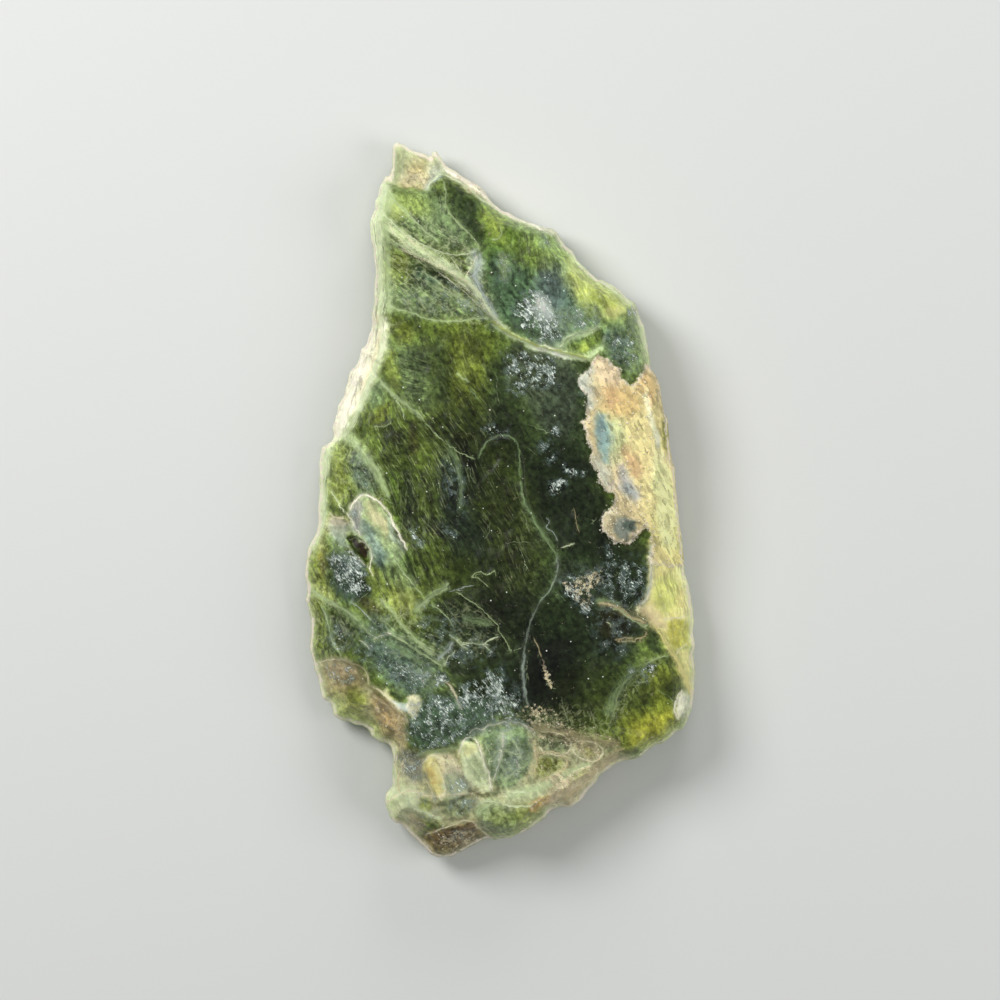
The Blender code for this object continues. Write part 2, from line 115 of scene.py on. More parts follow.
# How the front meets the silhouette, clockwise from the tip. Each station has the height of the wall's top
# and the width of the slope down to it, in millimetres, how far that slope is broken into sheet edges, from
# 0 to 1, and its place.
RIM = rows_in("""
3.3 1.2 .2 398,145
3.9 1.6 .4 462,176
4 1.1 .2 522,220
3.7 1.5 .3 572,252
4.2 1.3 .2 634,303
5 1 .3 650,370
4.2 1.7 .6 668,440
3.8 2.2 .2 675,480
3.2 3.6 .1 682,545
2.9 3.7 .1 694,620
3 2.8 .1 695,660
2.8 2 0 692,708
3.9 1.4 .2 663,743
4 1.3 .4 614,764
3.1 1.9 .5 571,807
3.2 1.2 .2 510,838
2.9 3.7 .3 438,857
3.3 1.6 .4 391,818
3.9 .9 .4 393,768
2.6 2.2 .3 369,730
2.3 2.6 .2 322,698
2.4 4.4 .3 311,632
2.6 5 .3 306,564
2.8 4.6 .2 319,478
2.4 3.4 .6 333,428
2.3 2.9 .6 357,365
3.6 1.4 .6 373,310
3.3 1.5 .5 371,225
3.1 1 .3 385,178
""")
SLOPE_LEDGES = 4  # sheet edges down a fully broken slope
LEDGE_TREAD = (0.6, 1.0)  # the part of each of those over which it drops
LEAST_RISE = 0.25  # mm, of the face over the top of the wall
SLOPE_ROUNDING = 1.4  # 1 for straight slopes, and rounder towards the face over that

# The broad face: its height over the floor at the middle of the slab, and then in millimetres of height for
# each millimetre across the slab, or for its square.
FACE_HEIGHT = 7.4
TILT_RIGHT, TILT_TIP, CROWN = 0.04, 0.012, 0.0011
TIP_THINS_FROM, TIP_THINNING = 9.0, 0.0018

# Unevenness, as the height of the lumps and their size across, in millimetres, and the noise's own number.
FACE_SWELLS, FACE_RIPPLES, FACE_GRAIN = (0.32, 11.0, 3), (0.1, 3.2, 4), (0.05, 0.9, 7)
LEDGE_WANDER, SLOPE_WANDER, SLOPE_NICKS = (0.14, 1.3, 5), (0.42, 3.6, 6), (0.05, 0.9, 14)
FACE_DIMPLES, BACK_DIMPLES = (0.02, 0.7, 31), (0.03, 0.8, 36)
FROST_BUMPS, CRUMB_BUMPS = (0.05, 0.5, 32), (0.08, 0.5, 33)
CRUST_LUMPS, CRUST_GRAIN = (0.09, 1.6, 34), (0.07, 0.5, 35)
WALL_SHEETS, WALL_SHEETS_SQUASH = (0.13, 1.0, 37), (0.5, 0.5, 4.0)
FIBRE_RIDGES = 41  # the noise's number for the first set of fibres
# Moves in the plan, with a number for x and one for y: of a broken edge, of a stain and of a crack.
EDGE_NICKS, STRAY = (0.07, 0.9, 1, 2), (0.12, 0.9, 21, 23)
SPREAD, SEEP = (0.4, 1.7, 26, 28), (0.2, 0.4, 27, 29)

# Measures in millimetres, unless a line says otherwise.
OUTLINE_SPACING = 0.32
SCARP_EDGE = 0.22  # the width of a scarp's own edge
CRUST_RISE, CRUST_FEATHER = 0.08, 0.08
RIB_LIP, RIB_BLUR = 0.06, 0.1
RIB_HALO, RIB_END_GLOW = 0.4, 0.2  # strengths of the paint round a rib, and at its ends
STRAND_MARGIN = 0.26  # past a rib's edge, a little over a facet
FIBRE_DEPTH, FIBRE_LENGTH, FIBRE_WIDTH = 0.022, 3.0, 0.4
MERGE_WITHIN = 1e-6  # metres
RIM_BLEND, RELIEF_GROWS = (0.02, 0.3), (0.1, 1.0)  # inside the silhouette
PLANE_SKIN = 0.05  # how near the resting plane a vertex lies on it
WALL_MOST_OUT = 0.06
ABOVE = 0.05  # metres, over the whole stone
# Facing, by the z of the normal: the front, the back that is painted and thinned, the wall and the lip.
FRONT_FACING, BACK_FACING, BACK_THINNED, WALL_FACING = (0.25, 0.5), (0.0, 0.5), 0.3, (0.45, 0.8)
# Below the rim the lip is sunk out of sight. The crust is sunk as far on the back, and still shows there
# where its plan is deeper.
LIP_FACING, LIP_FADE, SUNK = 0.35, 0.3, 2.0
PAINTED_GLOW_WASH, PAINTED_GLOW_GAIN = 0.45, (1.0, 3.0)  # how far the stone loses its colour where its painted light is brightest, and the painted gains over which that grows
MOST_TINT = 0.9  # linear share of the palest stone
CRUST_HIDES = 0.7  # share of a rib that the crust covers

# Hairlines: the draw, the ways they run in degrees and how far they stray, and their shape.
HAIRLINE_SEED, HAIRLINE_WAYS, HAIRLINE_STRAY = 5, [-63.0, -40.0, -80.0, 25.0], 14.0
HAIRLINE_LENGTH, HAIRLINE_WIDTH, HAIRLINE_MARGIN = (0.8, 3.5), (0.06, 0.11), 1.2
HAIRLINE_BEND, HAIRLINE_STEPS, HAIRLINE_STRENGTH = 0.35, 7, (0.2, 0.6)
# Grains: the draw, the tries, the radii, their flatness and their distance from the silhouette.
GRAIN_SEED, GRAIN_TRIES, GRAIN_SIZE, GRAIN_SQUASH, GRAIN_MARGIN = 11, 60000, (0.05, 0.12), (0.6, 1.2), 0.3
GRAIN_CHANCES = {"crust": 0.3, "crumb": 0.35, "frost": 0.08}
BORDER_CHANCE, BORDER_WIDTH, STRAY_CHANCE = 0.7, 0.25, 0.002  # along the crust's edge, and anywhere
GRAIN_FACING, GRAIN_LIFT, GRAIN_BLEACH = 0.3, 0.1, (0.2, 0.9)
FROSTED, FROSTED_SIZE = 0.3, 0.7  # where frost makes grains smaller, and how much

# The inputs of a range of shades: what is read, from where to where, and what that becomes.
RANGE = ("Value", "From Min", "From Max", "To Min", "To Max")

# Sizes of the patterns in the stone, in millimetres, none finer than a render shows.
CLOUD, BEND, MOTTLE, RAGGED, BUNDLE, DRIFT, GRIT, GLINT = 2.4, 7.0, 0.5, 0.3, 0.9, 0.9, 0.3, 0.8
FACET, FIBRE, SHEAF, SPLINTER = (0.8, 0.3, 1.0), (1.7, 0.22, 0.5), (6.0, 0.8, 0.5), (0.38, 0.15, 0.3)
FACETS_RUN, SPLINTERS_RUN = math.radians(-60.0), math.radians(-50.0)  # from the x axis
WEB = ((1.5, 0.07), (0.8, 0.05))  # cells and their threads
STRAND = (1.3, 0.1)  # length and width
PEBBLE_GRIT, STIPPLE = 0.12, 1.5  # on the grains, and on the floor

# Ledges of the front: each closed line encloses the cleavage sheet that stands over its neighbours by the
# first number, or lies under them where that is negative. The second is the ledge's width. Millimetres.
FRONT_SHEETS = rows_in("""
upper .55 .8 350,243 385,243 400,249 420,262 440,272 462,283 475,295 483,312 495,322 503,332 520,341 540,349
 560,354 588,361 600,357 612,363 619,373 632,382 640,375 648,366 720,360 720,100 350,100
tip -1.5 .5 350,120 350,184 384,184 400,187 412,191 424,191 428,183 436,178 446,177 456,179 470,191 484,203
 500,213 540,180 440,110
fan .34 .35 365,204 384,211 395,223 410,234 425,245 440,252 455,257 468,256 480,252 476,243 470,234 462,227
 455,222 450,214 446,204 446,192 438,186 428,192 400,189 365,180
band .14 .3 365,204 395,223 425,245 455,257 480,252 485,262 482,273 470,283 462,283 440,272 420,262 400,249
 385,243 365,240
hollow -.28 .35 382,252 400,254 420,266 440,277 460,289 472,300 480,311 489,319 470,321 440,322 425,318
 410,312 395,308 380,303
bright_corner -.22 .3 560,346 566,340 574,335 586,331 598,327 604,336 600,350 590,358
left_flank_block -.35 .6 290,586 312,588 328,599 345,609 362,623 352,640 340,657 290,661
lower_left -1.25 .5 280,662 318,662 328,659 340,658 352,662 362,666 368,673 369,684 378,692 385,700 392,706
 400,712 407,718 409,728 405,738 400,750 390,768 280,770
foot -.75 1.3 400,750 412,752 430,751 450,747 461,745 466,738 474,729 484,724 500,723 516,718 531,722 545,731
 560,736 580,738 600,742 622,745 640,790 600,880 340,880 380,790 390,768
round_window .3 .8 480,734 488,726 500,723 514,722 526,728 531,740 532,758 530,776 522,786 508,790 494,788
 486,776 480,764 476,750
flake_step .4 .4 424,760 436,754 448,759 459,768 464,780 470,792 455,799 436,803 420,797 420,775
yellow_flake .85 .4 426,761 432,757 438,764 444,772 448,785 447,798 440,801 434,791 428,778
pale_flake .75 .4 460,752 463,742 470,736 477,742 480,752 487,765 493,778 496,789 482,794 468,787 461,773
nose_top .4 1.1 376,786 396,783 420,795 450,800 480,796 510,792 545,786 556,797 530,812 500,824 488,834
 478,818 462,817 446,823 424,832 410,826 398,814 376,812
lower_right_hollow -.5 .7 612,726 615,706 618,690 624,680 634,672 645,665 656,660 668,656 676,667 684,682
 678,700 676,722 660,736 636,732
corner_chip -1.1 .5 677,703 681,692 686,686 700,694 704,720 684,734 677,722
right_crust .3 .22 588,362 598,357 608,361 614,367 620,375 633,383 640,376 648,368 664,380 672,420 672,462
 678,500 672,524 655,534 644,525 636,522 628,526 634,535 622,544 612,539 602,532 601,521 606,511 614,509
 613,497 602,488 595,477 591,462 588,448 584,438 583,424 588,419 588,404 586,390 590,378
crumbled_patch .28 .3 558,581 566,577 578,579 590,570 602,567 606,576 598,588 592,600 586,610 578,605
 566,598 560,590
plate_hole -1.2 .3 348,538 355,535 363,540 369,549 371,558 367,563 359,555 352,547
""")

# Low scarps that die away across the front: the side to the left of the line, walking along it, stands
# over the other by the first number, and evens out over the second. Millimetres.
SCARPS = rows_in("""
.32 2.4 523,712 522,668 525,640 530,620 537,605 549,593 557,580 557,556 545,534 530,510 523,490 523,470
 519,450 510,439 498,437 487,441
.26 4 384,384 398,396 412,408 424,422 440,440 452,448 474,458
.3 4 352,442 366,458 378,474 383,492 392,512 402,540 412,566 424,596
.3 3.5 412,612 424,600 440,589 452,584 478,586
.24 3.5 455,590 470,600 484,612 497,625 500,636 511,651
.3 4 362,612 380,629 400,641 420,652 436,664 446,676 458,690 462,706
.3 3 652,622 640,618 628,606 612,604 596,600
.3 2 322,600 328,622 332,642 342,656
.4 1.2 410,558 402,540 396,526 390,514 383,505 374,498 366,494 358,497 353,503 349,512 345,517 334,514
 326,522
""")

# Colours of the stone, as sRGB hex values: from the deep green of its thick middle to the pale tints of its
# thin edges and bruised sheets, and the stains and weathering of its skin. On the thin edges the pale tints
# are also a painted glow of the light that passes through them.
TINTS = {
    "deep": "#1a2410", "shadow": "#232f16", "bottle": "#33421f", "moss": "#4b5a20", "fern": "#587328",
    "olive": "#6f7828", "lime": "#8c9a44", "chartreuse": "#b0b75f", "yellow": "#d3ca82",
    "gold": "#a09c36", "sage": "#71865a", "pale_sage": "#a8b987", "mint": "#ccd7ac", "teal": "#33483d",
    "slate": "#6c8184", "mist": "#a9b4ac", "pearl": "#a5a39b", "cream": "#e4dcb6", "ivory": "#f6f0da",
    "sand": "#c6b68a", "ochre": "#c9a76c", "rust": "#c59a72", "umber": "#7c653c", "bark": "#2c210d",
    "rose": "#d2baa0", "lagoon": "#7f9c96", "khaki": "#aeab82", "fog": "#8f9d88", "amber": "#d2a355",
}

# Areas of colour, each laid over those before it: tint, strength, the half width in millimetres over which
# it fades at its outline, and the outline on the drawing grid.
BODY_AREAS = rows_in("""
moss .75 2.5 378,316 500,325 508,430 505,560 430,612 396,622 360,560 330,500 335,440 360,400
shadow .8 2 488,345 560,350 592,366 588,440 600,500 650,540 650,600 640,650 600,700 500,705 440,690 420,620
 470,590 540,590 520,480 500,440
deep .95 1.5 548,366 588,366 584,440 600,480 604,548 646,560 646,620 620,660 590,690 535,706 512,690 528,622
 560,590 560,545 536,500 540,420
fern .7 1.6 448,200 478,196 552,232 600,285 590,320 500,330 482,300 482,250
teal .7 1.4 482,250 515,262 570,262 600,320 598,352 556,350 500,330 484,300
""")
HEAD_AREAS = rows_in("""
sage .9 1.2 380,190 440,188 478,240 478,256 420,244 382,214
lime .55 .9 390,190 424,196 432,214 408,222 388,206
shadow .75 .8 450,184 462,190 480,206 484,232 486,252 474,246 456,222 447,206
chartreuse .5 .5 382,200 390,196 402,212 400,226 388,218
lime .75 .8 480,205 500,214 512,228 520,250 504,248 492,240 483,226
lime .35 1.2 505,214 548,232 560,262 540,262 516,250
sage .6 1 504,214 550,228 560,248 546,256 530,240 508,228
fern .8 .7 502,226 518,230 524,248 510,252 502,240
moss .8 .9 518,250 548,252 556,270 536,276 520,268
chartreuse .8 1.1 566,256 584,268 604,284 628,302 632,312 612,322 592,318 574,304 562,282
lime .6 .7 580,292 604,300 600,320 582,314
yellow .5 .4 604,308 624,308 626,318 606,320
teal .9 .9 538,274 556,276 572,292 574,312 556,318 540,300
fog .55 .35 532,302 544,298 553,306 553,320 542,327 533,318
sage .6 .8 557,310 600,306 602,330 570,336 556,330
sage .75 1 602,322 634,312 646,340 646,366 630,380 614,366 600,356
teal .6 .7 604,330 622,328 630,350 628,374 612,360 602,346
moss .8 .5 562,346 582,336 600,330 602,342 592,352 574,356
lime .7 .3 579,346 588,344 590,354 580,355
pale_sage .85 .25 588,353 596,348 603,349 600,356 590,361 583,360
lime .7 .8 380,246 398,252 414,264 412,282 396,290 381,286
sage .75 1 382,286 420,272 470,296 488,316 420,318 384,304
teal .65 .7 412,260 430,268 444,280 438,290 420,284 410,272
pale_sage .4 .5 384,216 410,234 440,250 462,282 440,272 404,252 383,242
mint .6 .2 384,238 410,252 446,270 480,290 504,330 534,344 572,354 590,358 588,363 552,357 500,334 476,292
 444,274 408,256
pale_sage .6 .4 496,256 506,254 511,268 508,280 500,276
mist .6 .35 533,298 541,296 549,306 553,318 549,328 540,314
rose .35 .3 533,298 541,297 548,310 540,312
mist .55 .5 466,254 480,253 484,268 480,290 468,282 468,268
""")
TIP_AREAS = rows_in("""
sand .85 .3 385,140 430,145 448,166 440,178 428,184 426,192 404,188 388,184
pale_sage .85 .6 388,146 408,148 410,164 398,186 388,184
khaki .5 .6 388,146 420,150 410,168 398,184 388,182
cream .6 .4 398,176 412,170 426,174 424,188 401,187
mint .8 .25 430,150 438,152 446,166 432,164
mist .6 .5 430,164 446,166 442,178 428,182
rose .9 .35 443,162 462,174 486,186 494,202 480,198 466,187 448,176
sand .6 .3 462,178 480,188 484,196 468,186
""")
LEFT_AREAS = rows_in("""
sage .7 1.4 392,338 430,344 434,405 414,408 398,392 390,360
olive .6 .8 392,318 412,322 412,344 394,342
olive .5 1.6 440,330 486,330 490,380 476,408 450,404 438,370
bottle .7 .9 432,340 446,338 450,404 434,408
lime .75 .8 458,352 474,354 478,368 466,374 456,364
lime .7 .4 387,350 396,356 399,376 398,396 390,384 386,366
sage .8 .5 371,384 386,380 388,398 376,414 366,402
olive .7 .5 374,412 388,400 392,420 376,428 368,424
pale_sage .7 .5 340,432 350,430 366,446 384,474 392,498 382,492 368,468 352,450
lime .75 .8 331,444 346,442 354,460 354,490 338,508 328,500 326,470
slate .5 .8 352,448 368,462 376,494 358,494 350,476
moss .8 .8 374,426 406,426 412,460 390,470 376,450
bark .5 .5 410,422 418,424 417,454 410,456
deep .7 .5 405,470 414,472 417,500 416,528 406,526 404,500
fern .6 .8 386,470 402,470 404,530 396,540 388,510
teal .55 .9 440,454 464,456 468,540 462,560 446,540 438,490
shadow .75 .9 464,452 482,452 490,470 478,500 466,500
shadow .7 .8 488,366 502,366 508,420 500,452 486,430
moss .6 1.2 488,440 512,440 524,500 544,560 530,590 490,580 478,520
fern .5 .8 508,462 519,464 520,486 510,492
teal .6 .9 460,508 478,512 490,552 474,560 462,536
fern .6 1.2 462,558 500,560 498,580 466,582
lime .6 1.2 368,566 404,560 424,590 420,622 396,622 376,600
sage .8 1.2 366,620 400,626 440,656 444,690 410,700 372,668
slate .4 1.2 350,632 420,650 440,680 410,696 376,670
chartreuse .5 .6 396,580 414,584 418,604 404,618 392,600
fern .6 .6 394,544 412,548 418,576 406,574 396,560
moss .6 .8 418,550 446,550 452,584 428,590 416,572
""")
FLANK_AREAS = rows_in("""
olive .7 .8 306,530 322,526 332,552 336,590 312,592 304,560
umber .35 .3 319,534 324,534 326,576 320,578
sand .55 .5 324,518 346,518 352,532 340,538 324,534
sage .7 .5 326,534 344,536 352,552 340,560 328,550
teal .8 .8 327,556 344,560 364,574 368,598 346,602 332,584
chartreuse .5 .6 308,582 330,584 340,604 322,600 309,594
olive .6 .6 308,594 324,602 326,650 314,660
shadow .55 .8 328,606 352,612 364,626 352,648 334,650
bark .45 .4 359,595 372,598 384,610 374,614 362,606
teal .5 1 362,610 400,630 436,660 430,690 400,690 366,650
khaki .9 .5 290,664 318,660 345,656 364,666 372,690 396,704 408,718 404,750 384,760 330,750 290,700
umber .45 .7 318,664 346,662 364,670 366,690 340,700 322,690
rose .3 .5 322,664 350,662 364,674 350,676 328,680
olive .7 .5 346,689 364,690 370,704 358,710 348,704
olive .35 .8 318,690 350,696 384,724 396,750 350,736 326,716
lime .5 1 326,700 350,712 372,724 380,744 350,736 330,716
umber .6 .6 372,690 396,704 410,716 410,742 398,752 384,738 372,712
rust .25 .4 374,694 390,708 402,724 398,738 384,722
deep .8 .25 391,691 397,694 402,699 396,700
cream .6 .15 384,685 388,690 392,700 388,702 385,694
sand .6 .6 393,742 408,742 408,772 396,786 392,770
""")
RIGHT_AREAS = rows_in("""
yellow .95 .35 650,540 662,500 690,500 700,600 700,650 672,640 660,628 640,612 645,597 650,580 650,560
chartreuse .7 .7 652,576 678,578 684,604 664,616 648,604
ochre .35 .6 676,584 690,590 692,614 680,610
gold .85 .4 664,619 688,618 692,644 680,650 672,652 666,636
yellow .9 .4 674,652 692,646 696,700 688,694 680,672
ochre .5 .4 684,652 694,654 694,668 686,668
sand .65 .5 634,610 648,604 660,612 664,634 652,624 640,616
shadow .8 .3 648,626 656,628 660,640 658,650 650,652 646,640
olive .85 1 618,690 636,674 656,664 672,668 682,690 680,716 662,740 632,746 616,730
gold .55 .8 640,716 676,708 678,724 656,744 628,750 626,732
shadow .6 .6 662,678 680,682 682,698 672,706 662,694
shadow .5 .7 614,690 646,674 656,690 646,710 618,712
ivory .9 .25 674,704 684,690 690,696 686,712 678,720 673,716
pearl .75 .3 684,694 694,698 690,714 682,726 680,716 686,706
moss .7 1 560,700 610,700 612,736 590,742 562,736
moss .5 1.2 540,684 580,660 616,664 612,700 560,704
bark .5 1 596,608 628,610 628,636 600,640
""")
FOOT_AREAS = rows_in("""
teal .75 1 408,700 470,690 500,704 494,724 462,744 410,748
slate .4 .7 484,688 500,670 512,696 530,702 522,712 486,710
deep .8 .6 502,660 522,656 524,690 512,696 500,680
khaki .9 .8 394,754 460,748 530,724 600,742 622,750 600,792 540,820 490,838 440,824 386,804
pearl .55 .7 398,750 424,750 424,784 404,786
mist .4 .5 440,764 462,766 476,792 450,796
sage .4 .7 514,706 540,704 560,724 624,742 612,756 560,744 530,736
sage .95 .35 480,738 490,727 504,723 522,724 531,738 531,766 518,786 496,788 486,770
teal .1 .8 486,734 500,728 522,730 528,748 520,772 500,776 488,756
mist .5 .4 498,728 508,730 500,760 492,766
mist .35 .5 512,740 524,744 522,770 506,782 500,772
olive .7 .5 536,754 556,752 566,764 552,774 536,774
sage .6 .6 536,728 560,730 580,744 562,756 538,748
sand .7 .3 574,738 598,742 604,752 588,760 574,752
olive .4 .3 582,744 596,746 594,756 584,754
lime .45 .4 570,772 588,764 594,770 580,782
mint .5 .4 500,790 530,782 548,782 544,796 520,804 504,802
sage .7 .5 476,806 490,800 520,806 522,822 504,834 482,826
olive .35 .6 484,810 510,808 512,822 492,826
lime .6 .8 508,806 544,800 540,820 518,830
mint .7 .8 386,788 412,784 420,806 400,816
cream .55 .5 386,800 400,806 420,820 430,836 412,830 394,816
lime .8 .3 419,800 430,796 433,808 424,813
sage .5 .4 440,796 472,794 474,812 446,814
umber .95 .3 424,834 441,828 460,820 472,818 479,828 488,836 500,870 400,880 400,842 412,838
bark .35 .5 434,836 456,828 462,834 446,846 434,844
rose .3 .4 440,832 472,824 480,836 458,844 444,840
rust .8 .4 386,816 404,820 424,840 436,856 420,858 396,836
rose .5 .4 404,808 422,816 426,832 410,828
amber .8 .3 529,804 540,796 553,796 552,806 532,812
rose .7 .6 544,796 570,782 596,764 622,748 634,756 604,786 586,802 552,812
rust .8 .3 556,806 584,796 600,776 622,758 634,760 604,790 586,808 560,816
cream .6 .3 548,774 562,772 568,780 562,790 549,788
mist .9 .2 388,699 398,703 409,700 413,711 404,714 392,708
cream .8 .2 408,704 413,690 421,695 421,712 414,719 408,713
""")
FLAKE_AREAS = rows_in("""
cream .7 .25 424,756 436,752 448,754 460,764 458,776 446,784 432,766
mint .8 .25 444,770 458,770 470,788 456,798 446,794
yellow .85 .15 422,762 428,754 437,758 440,768 444,776 446,789 441,797 432,792 427,777
mint .75 .12 459,752 462,742 468,735 477,739 481,751 484,762 490,774 490,789 481,788 468,780 464,766
amber .3 .25 425,764 432,762 438,776 436,788 430,780
sage .3 .3 466,756 478,756 486,772 486,784 472,776
yellow .4 .3 461,746 468,737 477,741 478,750 466,754
""")
# In the plate, the last row is a painted shade: a dark strip along the inside of its hole.
PLATE_AREAS = rows_in("""
pale_sage .85 .25 348,516 351,509 354,502 358,497 366,494 374,498 383,505 390,514 396,526 402,540 408,552
 400,562 386,566 370,560 352,536
sage .6 .8 380,545 406,552 420,586 408,596 386,576 372,560
sand .6 .5 368,500 378,506 388,520 392,536 380,530 370,512
cream .3 .3 370,508 380,512 386,524 378,526
slate .6 .5 362,520 370,520 378,534 386,552 386,566 376,564 370,548 362,534
teal .35 .4 374,552 384,554 386,566 378,566
pearl .8 .4 349,512 356,500 364,500 364,516 362,534 352,532
mist .5 .3 388,512 394,520 404,544 406,554 398,548 390,528
slate .7 .5 338,556 352,552 366,566 362,574 344,572
mist .6 .3 326,520 346,518 352,532 346,550 332,540
rose .4 .3 324,518 346,518 350,526 334,528
bark 1 .05 352,541 357,539 364,545 369,551 370,558 366,558 360,550 354,545
""")
CRUST_PLAN = places_in("""
589,364 593,359 599,357 605,359 609,361 612,366 616,370 620,375 624,379 628,382 631,386 634,383 637,378
641,375 642,370 644,366 652,366 664,366 690,440 692,500 700,560 672,566 650,562 652,544 651,532 647,527
641,529 637,534 632,537 628,541 623,542 616,544 612,541 608,539 604,534 600,532 600,527 602,522 603,515
606,511 610,511 613,508 615,502 616,498 615,491 614,487 611,484 613,491 609,493 604,488 600,483 597,475
594,469 592,463 591,455 590,449 587,443 586,438 585,431 583,423 585,419 588,417 588,408 588,403 587,397
586,393 582,389 579,383 580,378 581,375 585,372 588,371
""")
CRUST_AREAS = [("sand", 1.0, 0.1, CRUST_PLAN), *rows_in("""
yellow 0.5 1.2 600,400 640,384 664,400 672,470 690,560 650,560 630,470 606,440
mist 0.7 0.4 582,362 592,360 594,376 590,392 598,410 590,414 578,396 578,376
rose 0.45 0.6 594,360 608,360 616,372 626,384 612,390 596,380
ochre 0.6 0.8 600,386 618,384 636,392 640,410 624,420 602,414
rust 0.4 0.5 602,392 614,390 618,404 606,412
ochre 0.6 0.5 640,376 650,372 656,390 652,410 644,400 634,386
rust 0.3 0.3 645,394 651,394 652,406 647,406
pale_sage 0.6 0.8 606,416 620,420 626,440 618,460 608,462
lagoon 0.9 0.4 597,416 606,415 611,430 611,452 606,464 599,452 595,434
slate 0.45 0.3 599,418 605,418 606,436 604,448 599,440
mist 0.6 0.5 592,452 606,462 612,486 602,486 594,470
rust 0.55 0.4 622,448 630,448 642,468 640,482 632,474 624,460
pearl 0.9 0.4 614,462 624,466 636,484 640,500 630,502 618,486
slate 0.4 0.4 622,480 632,484 634,500 624,498
cream 0.6 0.4 602,510 616,506 624,514 612,520 610,536 602,530
slate 0.6 0.3 617,520 626,517 635,524 632,533 621,540 613,532
teal 0.5 0.2 624,519 634,524 630,534 622,530
yellow 0.8 1 654,470 670,470 692,540 692,580 654,566 652,520
olive 0.6 0.4 664,414 668,424 669,450 664,448 661,430
cream 0.8 0.2 643,384 648,398 650,416 658,432 660,448 656,446 648,430 645,412 641,396
""")]
RIM_AREAS = rows_in("""
mint .85 .5 366,180 388,176 386,200 380,214 383,244 382,300 384,318 390,330 386,360 376,380 366,400 350,430
 332,448 326,470 325,510 318,530 300,530 300,340 366,280
ivory .95 .4 376,310 388,322 386,346 378,364 368,388 356,410 346,430 332,444 322,446 330,420 346,370 362,342
 370,320
rose .55 .25 376,340 381,342 377,362 372,364
rose .55 .25 356,388 361,392 350,414 346,412
rose .6 .2 360,352 365,352 364,358 360,358
""")
# A painted glow along the thin edge all round, which stands for the light that it lets through: each tint and
# its width and strength in millimetres.
EDGE_GLOW_TINTS = [("pale_sage", 2.0, 0.3), ("mint", 0.9, 0.5), ("ivory", 0.4, 0.16)]

COLOUR_AREAS = [
    *BODY_AREAS, *HEAD_AREAS, *TIP_AREAS, *LEFT_AREAS, *FLANK_AREAS, *RIGHT_AREAS, *FOOT_AREAS,
    *PLATE_AREAS, *FLAKE_AREAS, *RIM_AREAS,
]

# Light and shade painted into the stone's colour, as gains on it by its thickness and by how sound it is:
# painted shade where a thick heart would take the light in, and painted light where thin or bruised sheets
# would send it back.
PAINTED_LIGHT_LEVELS = {"heart": 0.35, "dim": 0.72, "soft": 0.85, "clear": 1.3, "bright": 1.6}
# Each area of painted light or shade as its level, the half width in millimetres over which it fades, and its
# outline.
PAINTED_LIGHT_AREAS = rows_in("""
heart 2.2 446,400 486,400 520,420 532,480 540,560 530,640 470,640 440,600 430,500
heart 1.6 528,640 560,632 590,660 600,700 590,728 560,740 530,730 505,690
dim 1.5 400,350 440,350 440,440 410,440
dim .8 384,430 412,430 416,530 400,540 386,490
dim 1.2 560,440 620,500 650,560 560,560 530,480
dim 1.2 450,420 500,420 530,560 500,600 450,600
dim 1 530,640 570,650 580,730 530,730
dim 1.2 600,670 640,668 650,716 620,736 600,730
dim 1 436,340 484,340 488,404 440,408
dim 1 484,550 530,560 530,640 484,640
dim .8 450,640 500,650 500,676 460,680
dim .8 540,736 600,736 606,760 560,770 540,760
dim .6 424,830 476,820 496,850 440,866 420,856
soft 1.2 384,136 440,146 500,200 506,240 470,240 420,200 386,190
soft 1.2 384,750 460,744 530,720 640,740 600,800 520,850 400,850
clear .8 384,780 430,786 440,812 400,822 384,810
clear 1.4 500,240 556,240 590,270 600,340 592,440 540,436 530,400 505,380 505,300
clear 1.2 540,235 575,260 580,450 545,436 535,300
clear 1.2 500,340 580,346 584,440 548,446 520,400
clear 1 536,556 600,556 600,612 548,612
clear 1.2 352,400 384,400 388,530 360,450
clear 1.2 596,285 640,310 652,370 676,480 692,600 692,660 664,640 650,600 652,540 640,520 600,520 596,380
clear .8 650,430 676,440 684,540 664,560 650,500
clear 1.2 376,640 420,650 420,716 380,716
clear .8 380,190 404,196 408,210 404,250 400,275 370,275 365,200
bright 1.2 500,345 560,350 580,380 568,440 540,436 510,400
bright .9 535,255 565,270 565,345 530,345
bright 1 545,550 625,560 620,610 560,612
bright .8 624,640 668,640 660,664 630,668
bright 1 404,700 520,700 524,740 404,744
""")

